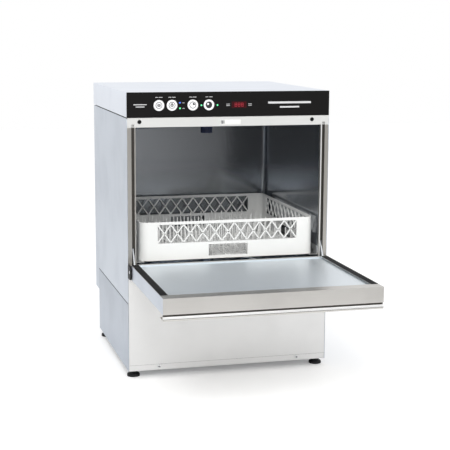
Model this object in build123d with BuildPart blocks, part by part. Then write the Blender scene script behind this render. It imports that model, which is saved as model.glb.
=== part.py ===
from build123d import *
import os
from math import atan2, cos, degrees, hypot, pi, sin

# Undercounter commercial dishwasher with a drop-down door, for 500 x 500 mm racks.
# X runs to the right, Y to the back and Z up. The origin is on the floor, midway between the
# edge of the open door and the back of the machine. The door is modelled open.

# ---- Driving dimensions, in millimetres ----
BODY_W = 574.0  # width over the side panels
BODY_D = 505.0  # front plane to the back of the side panels
REAR_D = 68.0  # depth of the rear cover behind the side panels
TOP_Z = 790.0
BASE_Z = 20.0  # underside of the cabinet
LOW_SEAM_Z = 212.0  # seam between the lower wrap and the side panels
TOP_SEAM_Z = 722.0  # seam under the top cover and the control fascia
REAR_COVER_Z = 145.0
PANEL_TOP_Z = 285.0  # top of the removable front panel
SHEET = 1.5
SEAM = 0.5  # gap at the seams between outer panels

DOOR_W = 564.0
DOOR_L = 430.0
DOOR_T = 40.0
DOOR_GAP = 6.0  # front plane to the rear edge of the open door
DOOR_FACE_Z = 325.5  # inner face of the open door
DOOR_EDGE_R = 15.0
HINGE_INSET = 15.5  # hinge axis to the rear edge of the door
PIN_R = 5.0
RUNNING = 0.05  # radial clearance of running fits

OPENING_X = 263.0  # half width of the door opening
OPENING_Z = (320.0, 696.0)
FRAME_D = 10.0
GROOVE_X = (266.5, 274.5)  # groove down each column of the door frame
CHAMBER_D = 520.5
CEILING_Z = 702.0
RACK_W = 500.0
RACK_H = 107.0
RACK_Z = 327.0  # underside of the rack, which clears the open door's edges
RACK_INSET = 12.0  # front plane to the front of the rack when it is home

TANK_X = 245.0  # half width of the tank, inside
TANK_Z = 235.0  # tank floor, upper face
ARM_R = 225.0
FOOT_X = 268.0
FOOT_INSET = 30.0  # front plane, or back of the side panels, to the foot axes
STEM_R = 5.0

# ---- Places worked out from them ----
HALF_W = BODY_W / 2
INNER_X = HALF_W - SHEET
DOOR_REACH = DOOR_GAP + DOOR_L
FRONT_Y = (DOOR_REACH - BODY_D - REAR_D) / 2
BACK_Y = FRONT_Y + BODY_D
REAR_Y = BACK_Y + REAR_D
DOOR_BACK_Y = FRONT_Y - DOOR_GAP
DOOR_TIP_Y = FRONT_Y - DOOR_REACH
DOOR_OUT_Z = DOOR_FACE_Z - DOOR_T
HINGE_Y = DOOR_BACK_Y - HINGE_INSET
HINGE_Z = DOOR_FACE_Z - DOOR_T / 2
FRAME_Y = FRONT_Y + FRAME_D  # back of the door frame, where the chamber starts
CHAMBER_Y = FRAME_Y + CHAMBER_D
ARM_Y = FRONT_Y + 265.0  # axis of the spray arms
TANK_TOP_Z = 316.0
FLOOR_Z = BASE_Z + SHEET  # upper face of the base tray
UP = (Align.CENTER, Align.CENTER, Align.MIN)


def block(x, y, z, mode=Mode.ADD):
    """Add or cut a box given by its limits along X, Y and Z."""
    middle = ((x[0] + x[1]) / 2, (y[0] + y[1]) / 2, (z[0] + z[1]) / 2)
    with Locations(middle):
        Box(abs(x[1] - x[0]), abs(y[1] - y[0]), abs(z[1] - z[0]), mode=mode)


def rod(centre, radius, axis, limits, mode=Mode.ADD):
    """Add or cut a cylinder along axis "X", "Y" or "Z", from one limit to the other.

    centre holds the other two coordinates, in the order X, Y, Z."""
    low, high = sorted(limits)
    middle = list(centre)
    middle.insert("XYZ".index(axis), (low + high) / 2)
    turn = {"X": (0, 90, 0), "Y": (90, 0, 0), "Z": (0, 0, 0)}[axis]
    with Locations(Location(tuple(middle), turn)):
        Cylinder(radius, high - low, mode=mode)


def save(piece, name):
    """Label a finished piece and write its STEP file."""
    piece.part.label = name
    export_step(piece.part, f"parts/{name}.step")


os.makedirs("parts", exist_ok=True)

# ---- Feet and base ----
FEET = {
    "foot_front_left": (-FOOT_X, FRONT_Y + FOOT_INSET),
    "foot_front_right": (FOOT_X, FRONT_Y + FOOT_INSET),
    "foot_rear_left": (-FOOT_X, BACK_Y - FOOT_INSET),
    "foot_rear_right": (FOOT_X, BACK_Y - FOOT_INSET),
}
FOOT_R = 18.0
FOOT_NECK_R = 11.0
STEM_TOP_Z = 62.0
NUT_R = 12.0
NUT_H = 16.0

for foot_name, (foot_x, foot_y) in FEET.items():
    with BuildPart() as foot:
        with Locations((foot_x, foot_y, 0)):
            Cylinder(FOOT_R, 9, align=UP)
        chamfer(foot.edges().group_by(Axis.Z)[-1], 3)
        with Locations((foot_x, foot_y, 9)):
            Cylinder(FOOT_NECK_R, BASE_Z - SEAM - 9, align=UP)
            Cylinder(STEM_R, STEM_TOP_Z - 9, align=UP)
    save(foot, foot_name)

SPRING_X = 279.0
LEVER_REACH = (45.0, 72.0)  # hinge axis to the spring pin, along Y and Z, door open
HOOK_Y = HINGE_Y + LEVER_REACH[0]
HOOK_Z = HINGE_Z + LEVER_REACH[1]
ANCHOR_Z = 140.0
HOOK_PIN_R = 2.5
TRAY_FRONT_Y = FRAME_Y + SEAM
TRAY_H = 40.0
PANEL_SCREW_X = 201.0
PANEL_SCREW_Z = 30.0
SCREW_R = 2.5

with BuildPart() as base_tray:
    block((-INNER_X, INNER_X), (TRAY_FRONT_Y, BACK_Y - SHEET), (BASE_Z, BASE_Z + TRAY_H))
    offset(amount=-SHEET, openings=base_tray.faces().sort_by(Axis.Z)[-1])
    for foot_x, foot_y in FEET.values():
        rod((foot_x, foot_y), NUT_R, "Z", (BASE_Z, BASE_Z + NUT_H))
        rod((foot_x, foot_y), STEM_R + RUNNING, "Z", (0, TOP_Z), Mode.SUBTRACT)
    for side in (-1, 1):
        # Post that anchors the lower end of a door spring.
        post_y = (HOOK_Y - 6, HOOK_Y + 6)
        block((side * (INNER_X - SHEET), side * INNER_X), post_y, (BASE_Z, ANCHOR_Z + 8))
        rod((HOOK_Y, ANCHOR_Z), HOOK_PIN_R, "X", (side * 274.0, side * INNER_X))
        rod((side * PANEL_SCREW_X, PANEL_SCREW_Z), SCREW_R, "Y",
            (FRONT_Y, TRAY_FRONT_Y + 5), Mode.SUBTRACT)
save(base_tray, "base_tray")

INLET = (-120.0, 92.0)  # X and Z of the connections through the back wall
DRAIN = (200.0, 82.0)
GLAND = (40.0, 112.0)
INLET_R = 13.2
DRAIN_R = 15.0
GLAND_R = 10.0
COLLAR_R = (17.0, 18.0)  # collars of the inlet and of the drain, in the back wall
COLLAR_OUT = 2.0  # how far they stand out of it
RISER_Z = 216.0
RISER_R = 12.0
RISER_Y = CHAMBER_Y + 18.0  # behind the chamber, inside the rear cover

with BuildPart() as base_wrap:
    block((-HALF_W, HALF_W), (FRONT_Y, BACK_Y), (BASE_Z, LOW_SEAM_Z))
    block((-INNER_X, INNER_X), (FRONT_Y - 1, BACK_Y - SHEET), (0, TOP_Z), Mode.SUBTRACT)
    for (hole_x, hole_z), hole_r in ((INLET, COLLAR_R[0] + 1), (DRAIN, COLLAR_R[1] + 1), (GLAND, GLAND_R)):
        rod((hole_x, hole_z), hole_r, "Y", (BACK_Y - 5, BACK_Y + 5), Mode.SUBTRACT)
    block((-20, 20), (BACK_Y - 5, BACK_Y + 5), (RISER_Z - 20, LOW_SEAM_Z + 1), Mode.SUBTRACT)
save(base_wrap, "base_wrap")

# ---- Outer panels ----
for side, panel_name in ((-1, "side_panel_left"), (1, "side_panel_right")):
    panel_z = (LOW_SEAM_Z + SEAM, TOP_SEAM_Z - SEAM)
    with BuildPart() as side_panel:
        block((side * INNER_X, side * HALF_W), (FRONT_Y, BACK_Y), panel_z)
        # Return along the rear edge.
        block((side * (INNER_X - 18), side * INNER_X), (BACK_Y - SHEET, BACK_Y), panel_z)
    save(side_panel, panel_name)

LOUVRE_PITCH = 18.0
with BuildPart() as rear_cover:
    block((-HALF_W + SEAM, HALF_W - SEAM), (BACK_Y, REAR_Y), (REAR_COVER_Z, TOP_SEAM_Z - SEAM))
    fillet(rear_cover.edges().filter_by(Axis.Z).group_by(Axis.Y)[-1], 4)
    offset(amount=-SHEET, openings=rear_cover.faces().sort_by(Axis.Y)[0])
    # Air louvres through the back.
    with BuildSketch(Plane.XZ.offset(-REAR_Y)):
        with Locations((0, 230)):
            with GridLocations(0, LOUVRE_PITCH, 1, 5):
                SlotOverall(160, 6)
    extrude(amount=20, both=True, mode=Mode.SUBTRACT)
    # The riser hose leaves through the top.
    rod((0, RISER_Y), RISER_R + 2, "Z", (TOP_SEAM_Z - 5, TOP_SEAM_Z + 5), Mode.SUBTRACT)
save(rear_cover, "rear_cover")

FASCIA_T = 3.0
with BuildPart() as top_cover:
    block((-HALF_W, HALF_W), (FRONT_Y + FASCIA_T, REAR_Y), (TOP_SEAM_Z, TOP_Z))
    fillet(top_cover.edges().group_by(Axis.Z)[-1].filter_by(Axis.Y), 3)
    fillet(top_cover.edges().group_by(Axis.Z)[-1].filter_by(Axis.X).sort_by(Axis.Y)[-1], 3)
    block((-INNER_X, INNER_X), (FRONT_Y, REAR_Y - SHEET), (TOP_SEAM_Z - 1, TOP_Z - SHEET),
          Mode.SUBTRACT)
save(top_cover, "top_cover")

FLANGE_X = INNER_X - 0.2
with BuildPart() as service_panel:
    block((-FLANGE_X, FLANGE_X), (FRONT_Y, FRAME_Y), (BASE_Z + SEAM, PANEL_TOP_Z - SEAM))
    offset(amount=-SHEET, openings=service_panel.faces().sort_by(Axis.Y)[-1])
    # Plinth strip along the bottom, set back a little.
    block((-HALF_W, HALF_W), (FRONT_Y - 1, FRONT_Y + 0.6), (BASE_Z, BASE_Z + 17), Mode.SUBTRACT)
    for side in (-1, 1):
        # Notch in the top flange for the door lever.
        block((side * (GROOVE_X[0] - 1), side * (GROOVE_X[1] + 1)), (FRONT_Y + SHEET, FRAME_Y + 1),
              (PANEL_TOP_Z - 10, PANEL_TOP_Z + 1), Mode.SUBTRACT)
        rod((side * PANEL_SCREW_X, PANEL_SCREW_Z), SCREW_R, "Y", (FRONT_Y - 1, FRAME_Y), Mode.SUBTRACT)
save(service_panel, "service_panel")

with BuildPart() as service_panel_screws:
    for side in (-1, 1):
        place = (side * PANEL_SCREW_X, PANEL_SCREW_Z)
        rod(place, SCREW_R, "Y", (FRONT_Y + 0.6, TRAY_FRONT_Y + 6))
        rod(place, 5, "Y", (FRONT_Y - 2, FRONT_Y + 0.6))
        block((place[0] - 4, place[0] + 4), (FRONT_Y - 3, FRONT_Y - 1),
              (place[1] - 0.6, place[1] + 0.6), Mode.SUBTRACT)
save(service_panel_screws, "service_panel_screws")

# ---- Door frame and what it carries ----
BRACKET_X = DOOR_W / 2 + 0.5
BRACKET_Z = (PANEL_TOP_Z, HINGE_Z + 17.5)
SLOT_TOP_Z = 366.5
CATCH_X = (-28.0, 30.0)
CATCH_Z = (700.0, 714.0)
BUMPERS = ((-252.0, 711.0), (236.0, 711.0))

with BuildPart() as front_frame:
    block((-INNER_X + 0.1, INNER_X - 0.1), (FRONT_Y, FRAME_Y), (PANEL_TOP_Z, TOP_SEAM_Z - SEAM))
    block((-OPENING_X, OPENING_X), (FRONT_Y - 1, FRAME_Y + 1), OPENING_Z, Mode.SUBTRACT)
    block(CATCH_X, (FRONT_Y - 1, FRAME_Y + 1), CATCH_Z, Mode.SUBTRACT)
    for place in BUMPERS:
        rod(place, 3, "Y", (FRONT_Y - 1, FRAME_Y + 1), Mode.SUBTRACT)
    for side in (-1, 1):
        groove = (side * GROOVE_X[0], side * GROOVE_X[1])
        block(groove, (FRONT_Y - 1, FRONT_Y + 7), (OPENING_Z[0], OPENING_Z[1] + 8), Mode.SUBTRACT)
        # Slot that the door lever swings in.
        block(groove, (FRONT_Y - 1, FRAME_Y + 1), (PANEL_TOP_Z - 1, SLOT_TOP_Z), Mode.SUBTRACT)
        block((side * (BRACKET_X - 0.1), side * HALF_W), (FRONT_Y - 1, FRAME_Y + 1),
              (PANEL_TOP_Z - 1, BRACKET_Z[1] + 0.1), Mode.SUBTRACT)
save(front_frame, "front_frame")

with BuildPart() as hinge_brackets:
    for side in (-1, 1):
        block((side * BRACKET_X, side * HALF_W), (FRONT_Y - 36, FRONT_Y), BRACKET_Z)
        block((side * BRACKET_X, side * (INNER_X - 0.1)), (FRONT_Y, FRONT_Y + 16), BRACKET_Z)
    fillet(hinge_brackets.edges().filter_by(Axis.X).group_by(Axis.Y)[0], 12)
    rod((HINGE_Y, HINGE_Z), PIN_R, "X", (-HALF_W - 1, HALF_W + 1), Mode.SUBTRACT)
save(hinge_brackets, "hinge_brackets")

PIN_END_X = 262.5
with BuildPart() as hinge_pins:
    for side in (-1, 1):
        rod((HINGE_Y, HINGE_Z), PIN_R, "X", (side * PIN_END_X, side * HALF_W))
    chamfer(hinge_pins.edges().filter_by(GeomType.CIRCLE), 0.6)
save(hinge_pins, "hinge_pins")

ROLLER_X = -21.0
with BuildPart() as door_catch:
    block(CATCH_X, (FRONT_Y - 1, FRAME_Y), CATCH_Z)
    fillet(door_catch.edges().filter_by(Axis.Y), 2)
    block((ROLLER_X - 5, ROLLER_X + 5), (FRONT_Y - 2, FRONT_Y + 6),
          (CATCH_Z[0] + 2, CATCH_Z[1] - 2), Mode.SUBTRACT)
    rod((ROLLER_X, FRONT_Y + 3.2), 4, "Z", (CATCH_Z[0] + 2, CATCH_Z[1] - 2))
save(door_catch, "door_catch")

with BuildPart() as lintel_bumpers:
    for place in BUMPERS:
        rod(place, 3, "Y", (FRONT_Y - 1, FRAME_Y))
        rod(place, 5.5, "Y", (FRONT_Y - 1, FRONT_Y))
save(lintel_bumpers, "lintel_bumpers")

with BuildPart() as door_switch:
    block((120, 152), (FRAME_Y, FRAME_Y + 20), (705, 719))
    rod((136, 712), 3, "Y", (FRAME_Y + 20, FRAME_Y + 26))
save(door_switch, "door_switch")

# ---- Door, modelled open ----
def door_section(inset):
    """Cross-section of the door across its width, shrunk by inset."""
    with BuildSketch(Plane.YZ) as section:
        with Locations(((DOOR_TIP_Y + DOOR_BACK_Y) / 2, DOOR_FACE_Z - DOOR_T / 2)):
            Rectangle(DOOR_L - 2 * inset, DOOR_T - 2 * inset)
        fillet(section.vertices().group_by(Axis.X)[-1], DOOR_EDGE_R - inset)
    return section.sketch


DOOR_HALF_W = DOOR_W / 2
LINER_X = 262.0  # half width of the liner's visible part
LINER_Y = (DOOR_TIP_Y + 37.0, DOOR_BACK_Y - DOOR_EDGE_R - 1.0)
LINER_Z = DOOR_FACE_Z - 5.0
LEVER_X = sum(GROOVE_X) / 2
LEVER_T = 4.0
HUB_R = 12.0

with BuildPart() as door_outer_panel:
    extrude(door_section(0), amount=DOOR_HALF_W, both=True)
    extrude(door_section(SHEET), amount=DOOR_HALF_W - SHEET, both=True, mode=Mode.SUBTRACT)
    block((-LINER_X, LINER_X), LINER_Y, (DOOR_FACE_Z - 2, DOOR_FACE_Z + 1), Mode.SUBTRACT)
    for side in (-1, 1):
        # Slot for the lever, and clearance round the hinge pin.
        block((side * GROOVE_X[0], side * GROOVE_X[1]), (HINGE_Y - 9, DOOR_BACK_Y + 1),
              (HINGE_Z - 8, DOOR_FACE_Z + 1), Mode.SUBTRACT)
        rod((HINGE_Y, HINGE_Z), PIN_R + 0.3, "X",
            (side * (DOOR_HALF_W - 3), side * (DOOR_HALF_W + 1)), Mode.SUBTRACT)
save(door_outer_panel, "door_outer_panel")

with BuildPart() as door_liner:
    block((-LINER_X - 8, LINER_X + 8), (LINER_Y[0] - 6, LINER_Y[1]),
          (LINER_Z - SHEET, DOOR_FACE_Z - SHEET))
    offset(amount=-SHEET, openings=door_liner.faces().sort_by(Axis.Z)[-1])
save(door_liner, "door_liner")

SEAL_H = 1.0
with BuildPart() as door_seals:
    for side in (-1, 1):
        block((side * LINER_X, side * (DOOR_HALF_W - 1)), (LINER_Y[0], LINER_Y[1] - 2),
              (DOOR_FACE_Z, DOOR_FACE_Z + SEAL_H))
save(door_seals, "door_seals")

HANDLE_Z = 269.0
NOSE_TOP_Z = 281.0
HANDLE_L = 38.0
with BuildPart() as door_handle:
    with BuildSketch(Plane.YZ):
        with BuildLine():
            Polyline(
                (DOOR_TIP_Y, HANDLE_Z), (DOOR_TIP_Y + HANDLE_L, HANDLE_Z),
                (DOOR_TIP_Y + HANDLE_L, HANDLE_Z + 3.5), (DOOR_TIP_Y + 10, HANDLE_Z + 3.5),
                (DOOR_TIP_Y + 10, DOOR_OUT_Z), (DOOR_TIP_Y + 5, DOOR_OUT_Z),
                (DOOR_TIP_Y + 5, NOSE_TOP_Z), (DOOR_TIP_Y, NOSE_TOP_Z), close=True,
            )
        make_face()
    extrude(amount=DOOR_HALF_W, both=True)
    fillet(door_handle.edges().filter_by(Axis.X).group_by(Axis.Y)[0], 3)
save(door_handle, "door_handle")

LEVER_L = hypot(*LEVER_REACH)
with BuildPart() as door_levers:
    for side in (-1, 1):
        rod((HINGE_Y, HINGE_Z), HUB_R, "X", (side * PIN_END_X, side * (DOOR_HALF_W - SHEET - 0.1)))
        with BuildSketch(Plane.YZ.offset(side * LEVER_X)):
            middle = (HINGE_Y + LEVER_REACH[0] / 2, HINGE_Z + LEVER_REACH[1] / 2)
            with Locations(Location((*middle, 0), (0, 0, degrees(atan2(LEVER_REACH[1], LEVER_REACH[0]))))):
                SlotCenterToCenter(LEVER_L, 10)
        extrude(amount=LEVER_T / 2, both=True)
        rod((HOOK_Y, HOOK_Z), HOOK_PIN_R, "X", (side * LEVER_X, side * 284.0))
    rod((HINGE_Y, HINGE_Z), PIN_R + RUNNING, "X", (-HALF_W, HALF_W), Mode.SUBTRACT)
save(door_levers, "door_levers")

WIRE_R = 1.0
COIL_R = 4.8
COIL_Z = (ANCHOR_Z + 6.0, HOOK_Z - 6.0)
with BuildPart() as door_springs:
    for side in (-1, 1):
        # The close-wound coils are one sleeve.
        rod((side * SPRING_X, HOOK_Y), COIL_R + WIRE_R, "Z", COIL_Z)
        rod((side * SPRING_X, HOOK_Y), COIL_R - WIRE_R, "Z", COIL_Z, Mode.SUBTRACT)
        # Eye at each end, round the anchor pin and the lever's pin.
        for eye_z in (ANCHOR_Z, HOOK_Z):
            with Locations(Location((side * SPRING_X, HOOK_Y, eye_z), (0, 90, 0))):
                Torus(COIL_R, WIRE_R)
save(door_springs, "door_springs")

# ---- Wash chamber and tank ----
WALL = 1.2
PRESS_R = 14.0  # pressed corners of the chamber
with BuildPart() as wash_chamber:
    block((-OPENING_X - WALL, OPENING_X + WALL), (FRAME_Y, CHAMBER_Y), (TANK_TOP_Z, CEILING_Z + WALL))
    fillet(wash_chamber.edges().filter_by(Axis.Z).group_by(Axis.Y)[-1], PRESS_R)
    fillet(wash_chamber.edges().group_by(Axis.Z)[-1].group_by(Axis.Y)[-1], PRESS_R / 2)
    offset(amount=-WALL, openings=[wash_chamber.faces().sort_by(Axis.Y)[0],
                                   wash_chamber.faces().sort_by(Axis.Z)[0]])
    rod((0, ARM_Y), 14, "Z", (CEILING_Z - 5, CEILING_Z + 5), Mode.SUBTRACT)
save(wash_chamber, "wash_chamber")

SUMP_X = 110.0
SUMP_R = 50.0
SUMP_Z = 190.0
HOSE_R = 16.0
HOSE_WALL = 2.5
DELIVERY_R = 14.0
DRAIN_HOSE_R = 12.0
OVERFLOW = (-205.0, FRONT_Y + 72.0)
OVERFLOW_R = 10.0
HEATER_R = 4.0
HEATER_Z = 249.0
HEATER_X = (-22.0, 22.0)  # where the element's legs leave the tank
TANK_Y = (FRONT_Y + 22.0, FRONT_Y + 508.0)
TANK_MID_Y = sum(TANK_Y) / 2
TANK_L = TANK_Y[1] - TANK_Y[0]
TANK_CORNER_R = 30.0

with BuildPart() as wash_tank:
    block((-TANK_X - SHEET, TANK_X + SHEET), (TANK_Y[0] - SHEET, TANK_Y[1] + SHEET),
          (TANK_Z - SHEET, TANK_TOP_Z))
    fillet(wash_tank.edges().filter_by(Axis.Z), TANK_CORNER_R)
    offset(amount=-SHEET, openings=wash_tank.faces().sort_by(Axis.Z)[-1])
    # Flange that the chamber stands on.
    with BuildSketch(Plane.XY.offset(TANK_TOP_Z - SHEET)):
        with Locations((0, (FRAME_Y + CHAMBER_Y) / 2)):
            Rectangle(2 * (OPENING_X + WALL), CHAMBER_D)
        with Locations((0, TANK_MID_Y)):
            RectangleRounded(2 * TANK_X, TANK_L, TANK_CORNER_R - SHEET, mode=Mode.SUBTRACT)
    extrude(amount=SHEET)
    # Sump with its suction and drain spigots.
    rod((SUMP_X, ARM_Y), SUMP_R + SHEET, "Z", (SUMP_Z - SHEET, TANK_Z))
    rod((SUMP_X, ARM_Y), SUMP_R, "Z", (SUMP_Z, TANK_Z + 5), Mode.SUBTRACT)
    rod((SUMP_X, ARM_Y), HOSE_R - HOSE_WALL, "Z", (SUMP_Z - 18, SUMP_Z - SHEET))
    rod((SUMP_X, ARM_Y), HOSE_R - 2 * HOSE_WALL, "Z", (SUMP_Z - 20, SUMP_Z + 5), Mode.SUBTRACT)
    rod((ARM_Y, 205), DRAIN_HOSE_R - HOSE_WALL, "X", (SUMP_X + SUMP_R + 0.5, SUMP_X + SUMP_R + 22))
    rod((ARM_Y, 205), DRAIN_HOSE_R - 2 * HOSE_WALL, "X",
        (SUMP_X + SUMP_R - 5, SUMP_X + SUMP_R + 25), Mode.SUBTRACT)
    # Seat of the overflow pipe.
    rod(OVERFLOW, OVERFLOW_R + 2.5, "Z", (TANK_Z - 30, TANK_Z - SHEET))
    rod(OVERFLOW, OVERFLOW_R + RUNNING, "Z", (TANK_Z - 35, TANK_Z + 5), Mode.SUBTRACT)
    # Holes for the heater's legs and for the pump's delivery into the pedestal.
    for leg_x in HEATER_X:
        rod((leg_x, HEATER_Z), HEATER_R, "Y", (TANK_Y[1] - 5, TANK_Y[1] + 5), Mode.SUBTRACT)
    rod((0, ARM_Y), 11, "Z", (TANK_Z - 5, TANK_Z + 5), Mode.SUBTRACT)
save(wash_tank, "wash_tank")

GUIDE_W = 25.0
with BuildPart() as rack_guides:
    for side in (-1, 1):
        guide_y = (FRAME_Y + 2, CHAMBER_Y - PRESS_R - 4)
        block((side * (OPENING_X - GUIDE_W), side * OPENING_X), guide_y, (RACK_Z - 2, RACK_Z - 0.5))
        block((side * (OPENING_X - SHEET), side * OPENING_X), guide_y, (RACK_Z - 2, RACK_Z + 24))
    fillet(rack_guides.edges().filter_by(Axis.Z).group_by(Axis.Y)[0], 0.5)
save(rack_guides, "rack_guides")

# ---- Spray arms and what they turn on ----
WASH_BEARING_R = 14.0
RINSE_BEARING_R = 9.0
LOWER_WASH_Z = (282.0, 297.0)
LOWER_RINSE_Z = (301.0, 309.0)
UPPER_WASH_Z = (684.0, 695.0)
UPPER_RINSE_Z = (674.0, 682.0)
PEDESTAL_R = 22.0
LOWER_KNOB_Z = (310.0, 318.0)
UPPER_KNOB_Z = (655.0, 673.0)

with BuildPart() as lower_arm_pedestal:
    rod((0, ARM_Y), 42, "Z", (TANK_Z, TANK_Z + 3))
    rod((0, ARM_Y), PEDESTAL_R, "Z", (TANK_Z + 3, LOWER_WASH_Z[0] - 0.5))
    rod((0, ARM_Y), WASH_BEARING_R, "Z", (LOWER_WASH_Z[0] - 0.5, LOWER_RINSE_Z[0] - 1))
    rod((0, ARM_Y), RINSE_BEARING_R, "Z", (LOWER_RINSE_Z[0] - 1, LOWER_KNOB_Z[1]))
    rod((0, ARM_Y), 5, "Z", (TANK_Z - 1, LOWER_KNOB_Z[1] - 6), Mode.SUBTRACT)
save(lower_arm_pedestal, "lower_arm_pedestal")

with BuildPart() as upper_arm_manifold:
    rod((0, ARM_Y), 42, "Z", (CEILING_Z - 3, CEILING_Z))
    rod((0, ARM_Y), 14, "Z", (CEILING_Z, CEILING_Z + 10))
    rod((0, ARM_Y), PEDESTAL_R, "Z", (UPPER_WASH_Z[1] + 0.5, CEILING_Z - 3))
    rod((0, ARM_Y), WASH_BEARING_R, "Z", (UPPER_RINSE_Z[1] + 1, UPPER_WASH_Z[1] + 0.5))
    rod((0, ARM_Y), RINSE_BEARING_R, "Z", (UPPER_KNOB_Z[0] + 2, UPPER_RINSE_Z[1] + 1))
    rod((0, ARM_Y), 5, "Z", (UPPER_KNOB_Z[0] + 8, CEILING_Z + 11), Mode.SUBTRACT)
save(upper_arm_manifold, "upper_arm_manifold")

KNOB_R = 17.0
KNOB_LOBES = 8
with BuildPart() as arm_knobs:
    for knob_z, spindle_z in ((LOWER_KNOB_Z, LOWER_KNOB_Z), (UPPER_KNOB_Z, (UPPER_KNOB_Z[0] + 2, 700))):
        with BuildSketch(Plane.XY.offset(knob_z[0])):
            with Locations((0, ARM_Y)):
                Circle(KNOB_R)
                with PolarLocations(KNOB_R + 2, KNOB_LOBES):
                    Circle(3.5, mode=Mode.SUBTRACT)
        extrude(amount=knob_z[1] - knob_z[0])
        rod((0, ARM_Y), RINSE_BEARING_R, "Z", spindle_z, Mode.SUBTRACT)
save(arm_knobs, "arm_knobs")


def spray_arm(z, bearing_r, root_w, tip_w, nozzle_z, turn):
    """A two-bladed arm from z[0] to z[1], with a row of nozzles on the side facing the rack."""
    with BuildPart() as arm:
        with BuildSketch(Plane.XY.offset(z[0])):
            with Locations(Location((0, ARM_Y, 0), (0, 0, turn))):
                tip_x = ARM_R - tip_w / 2
                Polygon((-tip_x, -tip_w / 2), (0, -root_w / 2), (tip_x, -tip_w / 2),
                        (tip_x, tip_w / 2), (0, root_w / 2), (-tip_x, tip_w / 2))
                Circle(bearing_r + 12)
            with Locations(Location((0, ARM_Y, 0), (0, 0, turn))):
                with GridLocations(2 * tip_x, 0, 2, 1):
                    Circle(tip_w / 2)
        extrude(amount=z[1] - z[0])
        chamfer(arm.edges().group_by(Axis.Z)[-1], 1.5)
        with BuildSketch(Plane.XY.offset(min(nozzle_z))):
            with Locations(Location((0, ARM_Y, 0), (0, 0, turn))):
                for reach in (60, 105, 150, 195):
                    with GridLocations(2 * reach, 0, 2, 1):
                        Circle(4)
        extrude(amount=abs(nozzle_z[1] - nozzle_z[0]))
        rod((0, ARM_Y), bearing_r + RUNNING, "Z", (z[0] - 3, z[1] + 3), Mode.SUBTRACT)
    return arm


save(spray_arm(LOWER_WASH_Z, WASH_BEARING_R, 52, 32, (LOWER_WASH_Z[1] - 2, LOWER_WASH_Z[1] + 1.5), 25),
     "lower_wash_arm")
save(spray_arm(LOWER_RINSE_Z, RINSE_BEARING_R, 26, 16, (LOWER_RINSE_Z[1] - 2, LOWER_RINSE_Z[1] + 1), 115),
     "lower_rinse_arm")
save(spray_arm(UPPER_WASH_Z, WASH_BEARING_R, 52, 32, (UPPER_WASH_Z[0] - 1, UPPER_WASH_Z[0] + 2), 0),
     "upper_wash_arm")
save(spray_arm(UPPER_RINSE_Z, RINSE_BEARING_R, 26, 16, (UPPER_RINSE_Z[0] - 1, UPPER_RINSE_Z[0] + 2), 12),
     "upper_rinse_arm")

# ---- Tank fittings ----
FILTER_Z = 262.0
STRAINER_R = 38.0
FILTER_HOLES = (
    ((0, ARM_Y), PEDESTAL_R + 1),
    ((SUMP_X, ARM_Y), STRAINER_R + 1),
    (OVERFLOW, OVERFLOW_R + 5),
)
with BuildPart() as tank_filter:
    with BuildSketch(Plane.XY.offset(FILTER_Z)):
        with Locations((0, TANK_MID_Y)):
            Rectangle(2 * TANK_X - 4, TANK_L - 4)
        chamfer(vertices(), TANK_CORNER_R - 8)
        for hole_place, hole_r in FILTER_HOLES:
            with Locations(hole_place):
                Circle(hole_r, mode=Mode.SUBTRACT)
    extrude(amount=1)
    # Drain slots, wherever they miss the three round holes by a margin.
    for column in range(-3, 4):
        for row in range(-3, 4):
            slot_x, slot_y = column * 64.0, TANK_MID_Y + row * 62.0
            if all(hypot(slot_x - x, slot_y - y) > r + 36 for (x, y), r in FILTER_HOLES):
                block((slot_x - 24, slot_x + 24), (slot_y - 4, slot_y + 4),
                      (FILTER_Z - 1, FILTER_Z + 2), Mode.SUBTRACT)
save(tank_filter, "tank_filter")

with BuildPart() as sump_strainer:
    rod((SUMP_X, ARM_Y), STRAINER_R, "Z", (SUMP_Z + 12, FILTER_Z + 1))
    rod((SUMP_X, ARM_Y), STRAINER_R + 6, "Z", (FILTER_Z + 1, FILTER_Z + 2))
    rod((SUMP_X, ARM_Y), STRAINER_R - 1, "Z", (SUMP_Z + 13, FILTER_Z + 3), Mode.SUBTRACT)
    with BuildSketch(Plane.XZ.offset(-ARM_Y)):
        with Locations((SUMP_X, 232)):
            with GridLocations(20, 14, 3, 3):
                Circle(4)
    extrude(amount=STRAINER_R + 5, both=True, mode=Mode.SUBTRACT)
save(sump_strainer, "sump_strainer")

HEATER_BEND_R = 20.0
HEATER_Y = (FRONT_Y + 120.0, TANK_Y[1] + 9.0)
HEATER_LOOP_X = 150.0
with BuildPart() as tank_heater:
    with BuildLine(Plane.XY.offset(HEATER_Z)) as element:
        turn_y = TANK_Y[1] - 60
        FilletPolyline(
            (HEATER_X[0], HEATER_Y[1]), (HEATER_X[0], turn_y), (-HEATER_LOOP_X, turn_y),
            (-HEATER_LOOP_X, HEATER_Y[0]), (SUMP_X + 60, HEATER_Y[0]), (SUMP_X + 60, turn_y),
            (HEATER_X[1], turn_y), (HEATER_X[1], HEATER_Y[1]), radius=HEATER_BEND_R,
        )
    with BuildSketch(Plane(origin=element.line @ 0, z_dir=element.line % 0)):
        Circle(HEATER_R)
    sweep(path=element.line)
    block((-34, 34), (TANK_Y[1] + SHEET, TANK_Y[1] + 9), (HEATER_Z - 13, HEATER_Z + 13))
save(tank_heater, "tank_heater")

with BuildPart() as overflow_pipe:
    rod(OVERFLOW, OVERFLOW_R, "Z", (TANK_Z - 22, 292))
    rod(OVERFLOW, OVERFLOW_R + 4, "Z", (286, 292))
    rod(OVERFLOW, OVERFLOW_R - 1.5, "Z", (TANK_Z - 30, 300), Mode.SUBTRACT)
save(overflow_pipe, "overflow_pipe")

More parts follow.
